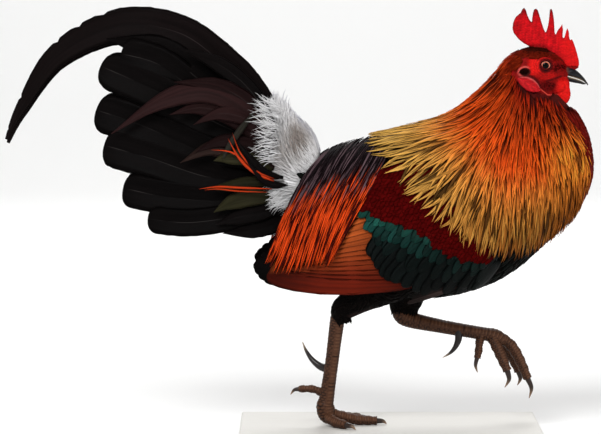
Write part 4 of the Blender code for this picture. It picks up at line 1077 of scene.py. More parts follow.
def downDome(side, chance):
    for many, lengths, half, level, lift in downPlan["layers"]:
        s = 0.02 + 4.7 * (np.arange(many) + 0.5) / many
        phi = 0.02 + 2.9 * ((np.arange(many) * golden) % 1)
        root, n = over(tailRoot, s, phi, side, level)
        away = root - np.array(downPlan["fan"]) * (1, side, 1)
        go = unit(away - n * np.sum(away * n, -1, keepdims=True))
        wave = np.sin(root[:, 0] * 0.16 + root[:, 2] * 0.11 + 3 * phi)[:, None, None]
        length = chance.uniform(*lengths, many)[:, None, None]
        swing = 0.2 * wave + chance.normal(0, 0.1, (many, 1, 1))
        curl = 0.35 * wave + chance.normal(0, 0.12, (many, 1, 1))
        path = downTuft(root, n, go, length, swing, curl, lift)
        x, z = root[:, 0], root[:, 2]
        # painted shade: tufts on the dome's lower side are painted near-black and drawn wider, for the dark
        # gap under the dome
        rank = phi + chance.normal(0, 0.06, many)
        under = smoothStep(1.75, 1.95, rank) * (1 - smoothStep(2.3, 2.4, rank) * smoothStep(1.8, 0.9, s))
        shadow = np.exp(-(((x + 78) / 12) ** 2 + ((z - 258) / 15) ** 2))
        shadow = shadow + 0.5 * np.exp(-(((x + 92) / 14) ** 2 + ((z - 244) / 12) ** 2))
        tint = blend(downPlan["white"], downPlan["grey"],
                     np.clip(shadow + 0.15 * chance.random(many), 0, 1))
        tint = blend(tint, downPlan["blue"], 0.5 * smoothStep(0.6, 0.2, phi) * chance.random(many))
        tint = blend(tint * chance.uniform(0.88, 1.04, (many, 1)), downPlan["black"], under)
        yield path, n, half * (1 + 1.2 * under), tint, patches(*unwrapped(tailRoot, s, phi, side))


# white wisps that lie over the roots of the tail coverts
def downWisps(side, chance):
    for many, x, z, go, lengths, tone in wispZones:
        x, z = chance.uniform(*x, many), chance.uniform(*z, many)
        root = np.stack([x, side * (24 + 2 * chance.random(many)), z], -1)
        n = np.broadcast_to((0.0, float(side), 0.0), root.shape)
        go = np.stack([go[0] + 0 * x, 0.08 * side + 0 * x, go[1] + 0.012 * (z - np.mean(z))], -1)
        go = unit(go + chance.normal(0, 0.09, go.shape) * (1, 0.2, 1))
        length = chance.uniform(*lengths, many)[:, None, None]
        swing, curl = chance.normal(0, 0.12, (many, 1, 1)), chance.normal(0, 0.2, (many, 1, 1))
        path = downTuft(root, n, go, length, swing, curl, 0.04)
        tint = downPlan["white"] * tone * chance.uniform(0.7, 1.05, (many, 1))
        s, phi = locate(tailRoot, x, z)
        yield path, n, np.full(many, 0.3), tint, patches(*unwrapped(tailRoot, s, phi, side))


def makeDown():
    finish = plumeFinish("downFeathers", 0.9, streak=0.2, barbs=12, gloss=0.03)
    for name, side in sides.items():
        chance = np.random.default_rng(70 + side)
        groups = [*downDome(side, chance), *downWisps(side, chance)]
        path, n, half, tint, cells = (np.concatenate(g) for g in zip(*groups))
        many = len(path)
        half = (half * chance.uniform(0.6, 1.4, many))[:, None] * np.array([0.8, 1.0, 0.9, 0.6, 0.06])
        tint = tint[:, None] * (0.88 + 0.2 * downTimes[None, :, None])
        feathers(f"down{name}", path, np.broadcast_to(n[:, None], path.shape), half, tint, cells, "down",
                 finish, thick=0.2, seed=71)
    print("down")


# outline of the comb in side view: the rear lobe, each point from left to right, the front
# edge and the base
combOutline = np.array([
    (128.6, 346.9), (124, 349), (119.6, 351.4), (116, 354.2), (113.8, 356.6), (110.8, 360.4),
    (109.8, 364.3), (110.4, 368.8), (111.4, 372), (113.2, 374.8), (117, 377.8), (118.5, 381),
    (119.6, 383.3), (120.9, 380.4), (121.9, 377.1), (123.7, 372.6), (126, 369.4), (127.3, 369.2),
    (127.4, 373.3), (128.1, 377.8), (129.3, 381.2), (130.2, 381.6), (131.4, 380.6), (133.1, 375.9),
    (135, 369.4), (136.9, 363.6), (138.6, 360.4), (139.9, 360.7), (141.2, 364.9), (142.4, 370.7),
    (142.9, 375.9), (143.2, 381.2), (144, 381.4), (144.9, 378.4), (145.9, 373.3), (146.4, 366.9),
    (146.7, 361.1), (147.3, 358.1), (148.4, 358.1), (150.4, 362.4), (152.4, 364.9), (153.7, 368),
    (154.2, 363), (153.9, 357.9), (154.3, 354.6), (155.6, 354.3), (156.8, 357.2), (157.7, 361.1),
    (158.4, 364.4), (159.5, 360.4), (159.8, 356.6), (160.5, 353.4), (161.5, 353.1), (162.4, 354.4),
    (163.9, 351.4), (164.6, 348.9), (165.9, 345.6), (167.1, 341.1), (168.4, 336), (168.7, 332.1),
    (167.8, 328.9), (165.2, 327.8), (160, 327), (150, 334), (138, 340)])
headPlan = {"voxel": 0.5, "comb": lin(180, 11, 19), "face": lin(124, 8, 7), "bright": lin(216, 24, 20),
            "deep": lin(56, 3, 4), "crown": lin(84, 18, 9), "lobe": lin(180, 24, 30), "eye": (138.2, 331.3),
            "shade": lin(60, 10, 7), "thread": lin(216, 72, 58), "lobeHighlight": lin(232, 110, 106),
            "earHighlight": lin(226, 96, 88), "earHoleShade": lin(38, 12, 7)}
# rings round each eye: distance from the midline, two radii and thickness
lidRows = [(14.1, 5.3, 4.95, 1.25), (13.3, 7.6, 6.9, 0.8)]
# lobes of each side: middle, half sizes, tilt in side view, ripple of the rim
faceLobes = {"wattle": ((151.0, 8.0, 306.5), (10.4, 2.0, 12.4), 4, 0.6),
             "wattleRoot": ((155.5, 5.5, 313), (5.0, 2.6, 9), 0, 0.0),
             "gape": ((150, 7.5, 324), (9, 4.5, 5.5), -12, 0.0),
             "jaw": ((146, 9.2, 312), (10, 4.0, 6.5), 8, 0.0)}
# soft ovals on the face: colour, strength, middle and radii in side view, and where they end above; the
# bright oval at (155, 308) and the deep one at (140, 302) are painted highlight and painted shade on the
# wattle
faceSpots = [("bright", 0.9, 128.5, 331.5, 5.5, 8.5, 400), ("bright", 0.35, 140, 322, 9, 3.2, 400),
             ("bright", 0.4, 134, 339, 8, 2.4, 400), ("bright", 0.9, 155, 308, 7, 13, 321),
             ("deep", 0.6, 138.5, 313, 9, 4.6, 400), ("deep", 0.4, 140, 302, 6, 5, 400),
             ("deep", 0.3, 152, 329.5, 7, 4.2, 400)]


# distance of side-view places to a closed outline
def outlineDistance(x, z, outline):
    a, b = outline, np.roll(outline, -1, 0)
    p = np.stack([x, z], -1)[:, None]
    along = np.clip(np.sum((p - a) * (b - a), -1) / np.maximum(np.sum((b - a) ** 2, -1), 1e-9), 0, 1)
    return np.min(np.linalg.norm(p - (a + along[..., None] * (b - a)), axis=-1), axis=1)


# lens-shaped lobe turned in side view: a ball scaled by half, with a rippled rim;
# a point above 1 draws its ends out
def lobe(centre, half, tilt, rings=24, around=40, ripple=0.0, point=1.0):
    v = np.linspace(0.04, math.pi - 0.04, rings)[:, None]
    a = np.linspace(0, 2 * math.pi, around, endpoint=False)[None]
    x = half[0] * np.sin(v) * np.cos(a)
    z = half[2] * np.sin(v) * np.sign(np.sin(a)) * np.abs(np.sin(a)) ** point
    y = half[1] * np.cos(v) + 0 * a
    y = y + ripple * np.sin(v) * np.sin(3 * a + 1) + ripple * 0.5 * np.sin(v) * np.sin(5 * a)
    c, s = math.cos(math.radians(tilt)), math.sin(math.radians(tilt))
    return np.stack([x * c - z * s, y, x * s + z * c], -1) + np.array(centre)


# ring round the eye: circle of two radii with a round section
def lidRing(centre, wide, tall, thick, side):
    a = np.linspace(0, 2 * math.pi, 48, endpoint=False)[:, None]
    b = np.linspace(0, 2 * math.pi, 14, endpoint=False)[None]
    reach = thick * np.cos(b)
    x = (wide + reach) * np.cos(a)
    z = (tall + reach) * np.sin(a)
    y = side * thick * np.sin(b) + 0 * a
    points = np.stack([x, y, z], -1) + np.array(centre)
    index = np.arange(48 * 14).reshape(48, 14)
    index = np.concatenate([index, index[:1]], 0)
    return points.reshape(-1, 3), [gridQuads(np.concatenate([index, index[:, :1]], 1))]


# the ear lobe leans with the cheek, whose half width shrinks by "lean" for each 1 up
lobePlan = {"middle": (123, 314.8), "half": (11.3, 1.7, 5.4), "tilt": -29, "lean": 0.43}


# the nape's skin stands higher under the first hackles
def napeRise(s, phi):
    turn = np.minimum(phi, 2 * math.pi - phi)
    return 2.8 * np.exp(-(((s - 9.4) / 1.6) ** 2)) * smoothStep(1.3, 0.4, turn)


# the comb as a flat slab; melting rounds it off, so that its outline starts out wider
def combSlab():
    along = unit(np.roll(combOutline, -1, 0) - np.roll(combOutline, 1, 0))
    outline = combOutline + 0.45 * np.stack([-along[:, 1], along[:, 0]], -1)
    outline[:, 1] = np.minimum(outline[:, 1], 382.9)
    count = len(outline)
    slab = np.concatenate([np.insert(outline, 1, -1.8, axis=1), np.insert(outline, 1, 1.8, axis=1)])
    ahead = np.roll(np.arange(count), -1)
    rim = np.stack([np.arange(count), ahead, ahead + count, np.arange(count) + count], 1)
    return outline, (slab, [rim, np.arange(count)[None], (np.arange(count) + count)[None, ::-1]])


def faceLobe(key, side):
    (x, y, z), half, tilt, ripple = faceLobes[key]
    return closedLoft(lobe((x, side * y, z), half, tilt, ripple=ripple))


# closed shapes of the bare skin, which are melted into one
def headShapes(comb):
    # the bare skin reaches further down at the nape than at the throat
    phi = np.linspace(0, 2 * math.pi, 64, endpoint=False)[None]
    start = 7.6 + 2.2 * smoothStep(1.2, 2.2, np.minimum(phi, 2 * math.pi - phi))
    run = np.linspace(0, 1, 70)[:, None]
    s = start + (14.98 - start) * run
    shapes = [closedLoft(over(body, s, phi, right, napeRise(s, phi) - 0.15)[0]), comb]
    ex, ez = headPlan["eye"]
    for side in sides.values():
        shapes += [lidRing((ex, side * out, ez), *sizes, side) for out, *sizes in lidRows]
        shapes += [faceLobe(key, side) for key in ("wattle", "wattleRoot")]
        # the ear lobe leans with the cheek
        lobeX, lobeZ = lobePlan["middle"]
        outside = over(drape, *locate(drape, lobeX, lobeZ), side, 1.0)[0][1]
        flap = lobe((lobeX, outside, lobeZ), lobePlan["half"], lobePlan["tilt"], ripple=0.2, point=1.5)
        flap[..., 1] -= side * lobePlan["lean"] * (flap[..., 2] - lobeZ)
        shapes.append(closedLoft(flap))
        outside = over(body, *locate(body, 119, 327), side, 0.3)[0][1]
        shapes.append(lidRing((119.6, outside, 326), 5.4, 4.0, 1.1, side))
        shapes += [faceLobe(key, side) for key in ("gape", "jaw")]
    return shapes


# the skin's slow waves: twelve sines in directions by chance
def skinWaves(points):
    rng = np.random.default_rng(5)
    waves = np.zeros(len(points))
    for k in range(12):
        d = rng.normal(0, 1, 3)
        waves += np.sin(points @ (d / np.linalg.norm(d)) * (0.9 + 0.3 * k) + rng.random() * 6) / 12
    return waves


def makeHead():
    outline, comb = combSlab()
    head = melted("headSkin", headShapes(comb), headPlan["voxel"], 2)
    points = vertexPlaces(head)
    x, y, z = points.T
    dorsal = np.interp(x, body[9:, 0], body[9:, 1])
    comby = (z > dorsal - 0.5) & (np.abs(y) < 2.6) & (x > 108)
    edge = outlineDistance(x, z, outline)
    thick = 0.45 + 1.35 * (1 - np.exp(-edge / 2.2)) + 1.3 * smoothStep(22, 0, z - dorsal)
    y = np.where(comby, y * thick / 1.8, y)
    points = np.stack([x, y, z], -1)
    waves = skinWaves(points)
    moveVertices(head, points)
    normals = np.empty(len(x) * 3, np.float32)
    head.data.vertices.foreach_get("normal", normals)
    points = points + normals.reshape(-1, 3) * (np.where(comby, 0.3, 0.75) * waves)[:, None]
    moveVertices(head, points)
    setTint(head, headTint(points, dorsal, comby, edge, waves))
    dress(head, "bare_skin", bareSkinFinish(), "head", "comb", "wattle_right", "wattle_left",
          "earlobe_right", "earlobe_left")
    print("head", len(head.data.polygons))


# colours of face, comb, wattles and ear lobes in side view, with painted highlights and shade; dorsal is
# the skull's upper line
def headTint(points, dorsal, comby, edge, waves):
    x, z = points[:, 0], points[:, 2]
    ex, ez = headPlan["eye"]

    # 1 in the middle of a soft oval in side view, 0 outside it
    def spot(cx, cz, rx, rz):
        return smoothStep(1.5, 0.5, np.hypot((x - cx) / rx, (z - cz) / rz)) * (~comby)

    p = headPlan
    tint = np.where(comby[:, None], p["comb"], p["face"]) * (1 + 0.7 * waves[:, None])
    dark = 0.45 * np.exp(-edge / 0.8) + (0.3 + 0.3 * smoothStep(148, 134, x)) * smoothStep(6, 0, z - dorsal)
    dark = dark + 0.5 * smoothStep(371, 381, z) + 0.3 * smoothStep(7, 0, np.hypot(x - 113, z - 366))
    tint = blend(tint, p["deep"], np.where(comby, np.minimum(dark, 0.8), 0))
    tint = blend(tint, p["bright"], np.where(comby, 0.5 * smoothStep(146, 160, x), 0))
    # the ovals paint the face's own patches, and painted highlight and shade on the wattle
    for colour, strength, *oval, top in faceSpots:
        tint = blend(tint, p[colour], strength * spot(*oval) * (z < top))
    # painted shade along the mouth's crease, which runs back under the cheek, and a pale thread of skin
    # joins lobe and wattle
    crease = outlineDistance(x, z, np.array([(152, 321.6), (146, 319.6), (139, 317.4), (146, 319.6)]))
    tint = blend(tint, p["deep"], 0.8 * smoothStep(1.6, 0.3, crease) * (~comby))
    thread = outlineDistance(x, z, np.array([(133, 311), (139.5, 305.6), (149.5, 305.4), (139.5, 305.6)]))
    browLine = np.interp(x, [105, 113, 122, 131, 138, 147, 156], [326, 333, 341, 342, 339.5, 337, 335])
    brow = smoothStep(-1.5, 1.5, z - browLine)
    tint = blend(tint, p["crown"], 0.85 * brow * (~comby))
    low = smoothStep(3, -2, z - np.interp(x, [110, 124, 138, 148, 152], [313, 308, 306, 299, 290]))
    tint = blend(tint, p["shade"], 0.9 * low * (~comby))
    tint = blend(tint, p["thread"], 0.75 * smoothStep(0.6, 0.2, thread) * (~comby))
    eyeFar = np.hypot(x - ex, z - ez)
    # painted shade in the creases of concentric folds round the eye, and a dark ring over the lids
    rings = np.cos(eyeFar * 2.9 + 5 * waves) * smoothStep(15, 8, eyeFar)
    lidRingAndFoldShade = 0.5 * np.clip(rings, 0, 1) + 0.8 * smoothStep(6.8, 5.6, eyeFar)
    tint = blend(tint, p["deep"], lidRingAndFoldShade * (~comby))
    # the ear lobe's own axes, each 1 at the leaf's edge, with a pale midrib and side veins
    turn = math.radians(lobePlan["tilt"])
    lobeX, lobeZ = lobePlan["middle"]
    along = ((x - lobeX) * math.cos(turn) + (z - lobeZ) * math.sin(turn)) / lobePlan["half"][0]
    across = ((z - lobeZ) * math.cos(turn) - (x - lobeX) * math.sin(turn)) / lobePlan["half"][2]
    leaf = np.abs(across) / np.maximum(1 - along**2, 0.02) ** 0.75 + 3 * (np.abs(along) > 1)
    onLobe = smoothStep(1.15, 0.9, leaf) * (~comby)
    tint = blend(tint, p["deep"], 0.85 * smoothStep(2.1, 1.3, leaf) * (z < 323))
    veins = 0.35 * np.sin(np.abs(across) * 9 - along * 11) + 0.9 * np.exp(-((across / 0.1) ** 2))
    tint = blend(tint, p["lobe"] * (0.85 + 0.35 * veins[:, None]), onLobe)
    # painted highlight along the lobe's upper edge only
    rim = 0.5 * np.exp(-(((leaf - 0.95) / 0.12) ** 2)) * (across > 0)
    tint = blend(tint, p["lobeHighlight"], rim * (~comby))
    # painted highlight on the upper rear half of the ear's rim, and painted shade in the ear opening inside
    # it
    ear = np.hypot((x - 119.9) / 5.8, (z - 325.9) / 4.3)
    earHighlightMask = np.exp(-((ear - 1.0) / 0.2) ** 2) * smoothStep(-3, 3, (z - 326) - (x - 120))
    tint = blend(tint, p["earHighlight"], 0.7 * earHighlightMask * (~comby))
    tint = blend(tint, p["earHoleShade"], 0.95 * smoothStep(0.95, 0.7, ear) * (~comby))
    return np.clip(tint, 0, 1)


def bareSkinFinish():
    finish = Finish("bareSkin", 0.55, Specular_IOR_Level=0.05, Subsurface_Weight=0.08,
                    Subsurface_Radius=(1.0, 0.2, 0.12), Subsurface_Scale=0.0012)
    grain = finish.cells(1000.0)
    fine = finish.noise(520.0, 3.0, stretch=(0.6, 1.0, 1.2))
    colour = finish.shade(finish.tint()[0], 1.06 - grain.between(0.3, 0.8) * 0.14 + (fine - 0.5) * 0.9)
    return finish.paint(colour, 0.42 + fine * 0.25, fine - grain * 0.4, 0.3, 0.0005)


# eyeball: a ball about the eye's axis, with iris and pupil painted by the distance from that axis
eyePlan = {"radius": 5.75, "depth": 10.4, "pupil": (2.7, 3.0), "iris": (2.7, 4.2), "rim": (4.1, 4.5),
           "inner": lin(170, 84, 62), "outer": lin(232, 150, 126)}


def makeEyes():
    ex, ez = headPlan["eye"]
    finish = Finish("eye", 0.2, Coat_Weight=0.05, Coat_Roughness=0.03, Specular_IOR_Level=0.04)
    x, _y, z = finish.split(finish.place())
    dx, dz = x - ex * mm, z - ez * mm
    far = (dx * dx + dz * dz) ** 0.5 * 1000  # in millimetres
    spokes = finish.noise(1400.0, 3.0)
    iris = finish.mix(far.between(*eyePlan["iris"]), eyePlan["inner"], eyePlan["outer"])
    iris = finish.shade(iris, spokes * 0.6 + 0.7)
    colour = finish.mix(far.between(*eyePlan["rim"]), iris, (0.012, 0.004, 0.003))
    colour = finish.mix(1 - far.between(*eyePlan["pupil"]), colour, (0.001, 0.001, 0.001))
    material = finish.paint(colour)
    for name, side in sides.items():
        ball = lobe((ex, side * eyePlan["depth"], ez), (eyePlan["radius"],) * 3, 0, 40, 64)
        eye = turnOutwards(meshObject(f"eye{name}", *closedLoft(ball)))
        dress(eye, "eye", material, f"eye_{name.lower()}")


# mandibles, as in the part: top (x, z), bottom (x, z), half width
upperBill = [(157.5, 331, 157, 321.6, 4.9), (158.9, 330.4, 158.2, 321.9, 4.7), (165, 328, 164, 320.3, 4.3),
             (170, 324, 169.5, 318.5, 3.4), (174.5, 319, 174, 316.3, 2.1),
             (177.7, 313.9, 177.0, 313.2, 0.35)]
lowerBill = [(157, 321.4, 157, 316.6, 4.2), (158.2, 321.4, 158.1, 317.0, 4.1),
             (164, 319.8, 164, 315.6, 3.6), (169.5, 318.0, 169.5, 314.7, 2.7),
             (173.3, 316.1, 173.0, 314.0, 1.5), (175.4, 314.9, 175.3, 314.2, 0.4)]
billPlan = {"base": lin(17, 17, 22), "tip": lin(8, 7, 8), "edge": lin(190, 166, 130),
            "root": lin(120, 60, 46), "nostrilShade": lin(8, 6, 6)}


# section of a mandible: an oval whose top draws to a ridge, width = w sin(a) (1 - ridge cos(a))
def billRings(table, ridge, count=44, around=40):
    rows = through(table, np.linspace(0, 1, count))
    a = np.linspace(0, 2 * math.pi, around, endpoint=False)[None]
    tx, tz, bx, bz, w = (rows[:, k][:, None] for k in range(5))
    c = np.cos(a)
    wide = w * np.sin(a) * (1 - ridge * c)
    return np.stack([(tx + bx) / 2 + (tx - bx) / 2 * c, wide, (tz + bz) / 2 + (tz - bz) / 2 * c], -1)


def makeBill():
    upper, lower = billRings(upperBill, 0.28), billRings(lowerBill, -0.2)
    near = np.exp(-(((upper[..., 0] - 162.6) / 2.0) ** 2 + ((upper[..., 2] - 325.4) / 0.9) ** 2))
    upper[..., 1] *= 1 - 0.2 * near
    for name, rings, node in (("billUpper", upper, "bill_upper"), ("billLower", lower, "bill_lower")):
        bill = turnOutwards(meshObject(name, *closedLoft(rings)))
        x, _y, z = vertexPlaces(bill).T
        tint = np.broadcast_to(billPlan["base"], (len(x), 3))
        tint = blend(tint, billPlan["tip"], smoothStep(163, 174, x))
        mouth = np.abs(z - np.interp(x, [157, 164, 170, 174, 177.5], [321.6, 320.1, 318.3, 316.2, 313.3]))
        tint = blend(tint, billPlan["edge"], 0.85 * smoothStep(1.5, 0.3, mouth) * smoothStep(176, 168, x))
        tint = blend(tint, billPlan["root"], 0.6 * smoothStep(161, 157.5, x))
        # painted shade in the nostril's hollow on the upper mandible
        nostrilShade = np.exp(-(((x - 162.8) / 1.5) ** 2 + ((z - 325.3) / 0.65) ** 2) ** 2)
        hole = nostrilShade if node == "bill_upper" else 0 * nostrilShade
        setTint(bill, blend(tint, billPlan["nostrilShade"], hole))
        finish = Finish(name, 0.25, Coat_Weight=0.12, Coat_Roughness=0.15, Specular_IOR_Level=0.2)
        grain = finish.noise(420.0, 3.0, stretch=(0.25, 1.0, 1.0))
        colour = finish.shade(finish.tint()[0], grain * 0.7 + 0.65)
        dress(bill, "bill_horn", finish.paint(colour, 0.2 + grain * 0.2, grain, 0.3, 0.0003), node)
    print("head pieces")


# legs: paths (x, y, z, radius) as in the part, with scutes raised along their fronts
shankRows = {
    "Right": [(-44.5, -26, 113, 6), (-46.8, -25.5, 108, 6.6), (-48.5, -24, 98, 6.5),
              (-52.5, -20.5, 66, 6.0), (-57, -17.8, 34, 6.7), (-58.4, -17.5, 26, 8.0),
              (-56.5, -17, 18, 8.2), (-53.5, -16.5, 12, 5.0)],
    "Left": [(9, 26, 111, 6), (11, 26, 104.5, 8.0), (19, 25.5, 99, 7.4), (50, 23.5, 92.6, 6.2),
             (86, 22.3, 86.4, 6.0), (93, 22, 85, 6.8), (99.5, 22, 82, 7.0), (104, 22, 78, 4.8)]}
toeRows = {
    "Right": {"hallux": [(-57, -15.5, 33, 3.2), (-62, -14, 37.5, 3.0), (-70, -13, 40.4, 2.8),
                         (-82, -11.5, 40.3, 2.5)],
              "toe_2": [(-53, -14.5, 18, 3.8), (-47, -7, 15.5, 3.8), (-37, 3, 12.8, 3.5),
                        (-27, 9, 11.8, 3.1)],
              "toe_3": [(-51, -17, 18, 4.2), (-43, -16, 15.6, 4.3), (-29, -15, 12.8, 3.8),
                        (-12, -14, 11.8, 3.2)],
              "toe_4": [(-56, -20, 18, 3.9), (-54, -26, 15.2, 3.9), (-48, -34, 12.8, 3.6),
                        (-40, -42, 11.8, 3.1)]},
    "Left": {"hallux": [(84, 20.5, 87, 3.1), (82, 18.5, 79.5, 3.0), (81, 17, 71, 2.8), (79.8, 16, 65, 2.6)],
             "toe_2": [(94, 19, 82, 3.9), (99, 15, 72, 4.0), (103, 13, 63, 3.7), (107, 11, 54, 3.2)],
             "toe_3": [(97.5, 22, 85, 4.2), (110.5, 22, 76, 4.2), (119.5, 22, 61, 3.8),
                       (126, 22, 45.5, 3.1)],
             "toe_4": [(97, 25, 82, 3.9), (106, 31, 73, 3.9), (113.5, 34, 61.5, 3.6),
                       (118.5, 35.5, 51, 3.1)]}}
clawRows = {
    "Right": {"hallux": [(-86, -11, 39.4), (-89.5, -10.5, 35.2)],
              "toe_2": [(-22, 11.8, 11.4), (-18.5, 13.6, 8.9)],
              "toe_3": [(-6.5, -13.8, 11.4), (-3.0, -13.6, 8.9)],
              "toe_4": [(-35, -46.5, 11.4), (-31.5, -49.5, 8.9)]},
    "Left": {"hallux": [(78.4, 15.6, 58.5), (80.2, 15.2, 52)],
             "toe_2": [(108.5, 10.2, 46.5), (104.6, 9.4, 39)],
             "toe_3": [(129.6, 22, 37), (127.6, 22, 27.5)],
             "toe_4": [(120.4, 36, 44), (117.8, 36.4, 37.5)]}}
spurRows = {
    "Right": [(-56, -16, 59, 3.8), (-63, -12, 61, 3.3), (-70, -9, 66.5, 2.4), (-75.5, -7, 74.5, 1.4),
              (-78.8, -6, 82.5, 0.3)],
    "Left": [(62.5, 21, 90, 3.8), (63, 18.5, 83, 3.3), (60.5, 16.5, 76, 2.4), (55.5, 15, 70, 1.4),
             (48.5, 14, 65.7, 0.3)]}
legPlan = {"scute": 3.1, "raise": 0.6, "scale": lin(76, 48, 33), "edge": lin(128, 90, 66),
           "dark": lin(18, 10, 7), "pad": lin(98, 64, 44), "toeScute": 2.4, "toeGrowth": 1.22, "knob": 0.28,
           "ground": 8.3, "claw": (lin(44, 32, 27), lin(140, 112, 88)),
           "spur": (lin(34, 28, 28), lin(150, 130, 106))}


# raised plates: in front two rows of overlapping scutes, behind small round scales.
# Along the leg a scute rises over its length and drops at its end
def scutePattern(length, knob=0.0):
    def swell(run, angle):
        turn = np.arctan2(np.sin(angle), np.cos(angle))
        front = smoothStep(2.0, 1.5, np.abs(turn))
        column = np.floor(turn / 1.1 + 0.5)
        row = (run / length + 0.5 * (column % 2)) % 1
        plate = np.sqrt(np.clip(1 - (2 * ((turn / 1.1 + 0.5) % 1) - 1) ** 4, 0, 1))
        plate = plate * (0.35 + 0.65 * row) * smoothStep(1.0, 0.86, row)
        pebble = np.abs(np.sin(turn * 5 + 1.57 * np.floor(run * 2.6 / length / 2)))
        pebble = np.abs(np.sin(run * 2.6 / length * 1.57)) * pebble
        relief = legPlan["raise"] * (front * plate + (1 - front) * pebble * 0.7) - 0.3
        return relief + knob * np.cos(run * 0.78)
    return swell


def scaleFinish():
    finish = Finish("legScales", 0.5, Specular_IOR_Level=0.12)
    grain = finish.noise(800.0, 3.0)
    colour = finish.shade(finish.tint()[0], grain * 0.9 + 0.55)
    return finish.paint(colour, 0.36 + grain * 0.25, grain, 0.35, 0.0003)


def hornFinish():
    finish = Finish("clawHorn", 0.3, Coat_Weight=0.1, Coat_Roughness=0.2, Specular_IOR_Level=0.25)
    grain = finish.noise(500.0, 3.0)
    colour = finish.shade(finish.tint()[0], grain * 0.8 + 0.6)
    return finish.paint(colour, 0.22 + grain * 0.2, grain, 0.3, 0.0003)


def makeLegs():
    scales, horn = scaleFinish(), hornFinish()
    for name in sides:
        low = name.lower()
        front = np.array((1.0, 0, 0)) if name == "Right" else np.array((0.0, 0, 1.0))
        toeFront = np.array((0.0, 0, 1.0)) if name == "Right" else np.array((1.0, 0, 0))
        floor = legPlan["ground"] if name == "Right" else None
        tubes = [(shankRows[name], 230, 44, front, None, legPlan["scute"], 0.0)]
        # toes swell into pads between their joints
        for rows in toeRows[name].values():
            grown = np.array(rows) * (1, 1, 1, legPlan["toeGrowth"])
            tubes.append((grown, 90, 30, toeFront, floor, legPlan["toeScute"], legPlan["knob"]))
        shapes, tints = [], []
        for rows, count, around, ahead, ground, length, knob in tubes:
            ring, run, angle = tubeRings(rows, count, around, ahead, ground, scutePattern(length, knob))
            shapes.append(closedLoft(ring))
            high = scutePattern(length)(run[:, None], angle[None]) / legPlan["raise"]
            tint = blend(legPlan["dark"], legPlan["scale"], smoothStep(-0.5, -0.05, high))
            tint = blend(tint, legPlan["edge"], 0.35 * smoothStep(0.12, 0.36, high))
            back = smoothStep(2.2, 2.9, np.abs(np.arctan2(np.sin(angle), np.cos(angle))))[None]
            tint = blend(tint, legPlan["pad"], 0.4 * back * smoothStep(-0.4, 0.2, high))
            tints.append(np.concatenate([tint.reshape(-1, 3), tint[0, :1], tint[-1, :1]]))
        leg = turnOutwards(meshObject(f"leg{name}", *joined(shapes)))
        setTint(leg, np.concatenate(tints))
        dress(leg, "leg_scale", scales, f"shank_{low}", *(f"{toe}_{low}" for toe in toeRows[name]))
        makeClaws(name, horn, toeFront, floor)
        makeSpur(name, horn)
    print("legs")


def makeClaws(name, material, front, floor):
    shapes, tints = [], []
    for toe, rows in toeRows[name].items():
        end, back = np.array(rows[-1], float), np.array(rows[-2], float)
        start = end[:3] - unit(end[:3] - back[:3]) * 1.2
        tipRows = [(*p, r) for p, r in zip(clawRows[name][toe], (end[3] * 0.6, 0.3))]
        path = [(*start, end[3] * 0.86)] + tipRows
        ring, run, _angle = tubeRings(path, 26, 20, front, floor)
        shapes.append(closedLoft(ring))
        tint = blend(*legPlan["claw"], smoothStep(0.45, 1.0, run / run[-1]))
        tints.append(np.concatenate([np.repeat(tint, 20, 0), tint[:1], tint[-1:]]))
    claws = turnOutwards(meshObject(f"claws{name}", *joined(shapes)))
    setTint(claws, np.concatenate(tints))
    dress(claws, "claw_horn", material, *(f"claw_{toe}_{name.lower()}" for toe in toeRows[name]))


def makeSpur(name, material):
    ring, run, _angle = tubeRings(spurRows[name], 60, 28, (1.0, 0.2, 0.3))
    spur = turnOutwards(meshObject(f"spur{name}", *closedLoft(ring)))
    tint = blend(*legPlan["spur"], smoothStep(0.7, 1.0, run / run[-1]))
    setTint(spur, np.concatenate([np.repeat(tint, 28, 0), tint[:1], tint[-1:]]))
    dress(spur, "claw_horn", material, f"spur_{name.lower()}")


# short feathers of crown, brow and nape, bristles before the eye and a tuft over the ear:
# middle and radii in side view, number, direction, length, half width and colour
headTufts = [
    ((151, 328.5), (6.5, 3.2), 120, (-0.5, 0.25), 2.2, 0.16, lin(46, 10, 8)),
    ((120.0, 326.2), (3.6, 2.4), 170, (-0.9, -0.35), 3.6, 0.2, lin(34, 10, 7)),
    ((140, 313.5), (8, 3.5), 90, (-0.7, -0.45), 1.7, 0.15, lin(60, 8, 8)),
    ((131, 344.5), (13, 2.6), 420, (-0.93, -0.15), 4.4, 0.42, lin(58, 17, 9)),
    ((128, 341), (14, 3.0), 520, (-0.9, -0.3), 4.2, 0.4, lin(110, 26, 12)),
    ((148, 338), (8, 2.6), 220, (-0.9, 0.3), 2.4, 0.24, lin(134, 24, 15)),
    ((112, 335), (6.5, 6.5), 520, (-0.72, -0.6), 6.5, 0.5, lin(128, 34, 12)),
    ((101, 325), (7, 7), 460, (-0.66, -0.68), 9, 0.7, lin(130, 36, 12)),
    ((90, 313), (8, 8), 460, (-0.66, -0.68), 10, 0.75, lin(146, 42, 13)),
    ((76, 299), (9, 7), 420, (-0.76, -0.6), 11, 0.8, lin(156, 48, 13))]


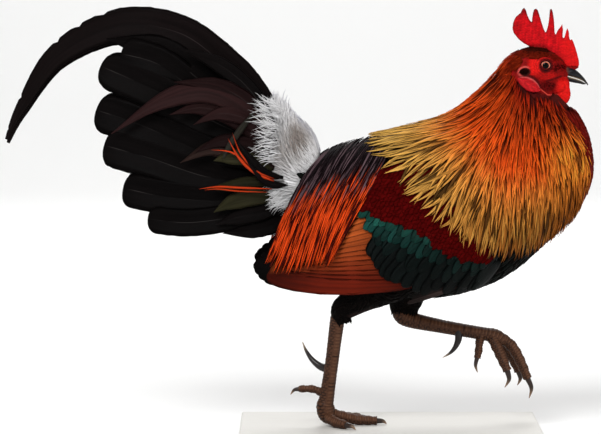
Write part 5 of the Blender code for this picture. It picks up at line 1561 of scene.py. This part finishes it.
def makeHeadTufts():
    material = plumeFinish("headTufts", 0.7, streak=0.4, barbs=10, gloss=0.01)
    for name, side in sides.items():
        chance = np.random.default_rng(80 + side)
        t = np.array([0, 0.5, 1.0])
        paths, normals, tints, halves, cells = [], [], [], [], []
        for (cx, cz), (rx, rz), many, (dx, dz), length, half, colour in headTufts:
            a, r = chance.uniform(0, 2 * math.pi, many), np.sqrt(chance.random(many))
            x, z = cx + rx * r * np.cos(a), cz + rz * r * np.sin(a)
            s, phi = locate(body, x, z)
            root, n = over(body, s, phi, side, napeRise(s, phi) - 0.2)
            go = unit(np.array((dx, 0.0, dz)) + chance.normal(0, 0.16, (many, 3)))
            go = unit(go - n * np.sum(go * n, -1, keepdims=True) + n * 0.34)
            reach = length * chance.uniform(0.6, 1.3, (many, 1, 1))
            path = root[:, None] + go[:, None] * reach * t[None, :, None]
            path = path - n[:, None] * reach * 0.15 * t[None, :, None] ** 2
            paths.append(path)
            normals.append(np.broadcast_to(n[:, None], path.shape))
            tints.append(np.broadcast_to(colour, path.shape) * chance.uniform(0.5, 1.4, (many, 1, 1)))
            halves.append(np.broadcast_to(half * np.array([0.8, 1.0, 0.1]), path.shape[:2]))
            cells.append(patches(*unwrapped(body, s, phi, side)))
        path, n, tint, half, cell = (np.concatenate(g) for g in (paths, normals, tints, halves, cells))
        feathers(f"headTufts{name}", path, n, half, tint, cell, "black_plumage", material, thick=0.12,
                 seed=81)


basePlan = {"dark": lin(212, 209, 203), "pale": lin(226, 224, 219)}


# the display base keeps its own shape, in satin paint with faint brush marks
def paintBase():
    finish = Finish("basePaint", 0.5)
    brushed = finish.noise(60.0, 4.0, stretch=(1.0, 14.0, 14.0))
    colour = finish.mix(brushed, basePlan["dark"], basePlan["pale"])
    material = finish.paint(colour, 0.42 + brushed * 0.18, brushed, 0.12, 0.0004)
    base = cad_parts["stand_base"]
    for place in base.material_slots:
        place.material = material
    if not base.material_slots:
        base.data.materials.append(material)


makeCamera()
makeStudio()
makeSkin()
makeCapes()
makeBodyCoat()
makeWings()
makeTail()
makeDown()
makeHead()
makeEyes()
makeBill()
makeHeadTufts()
makeLegs()
paintBase()
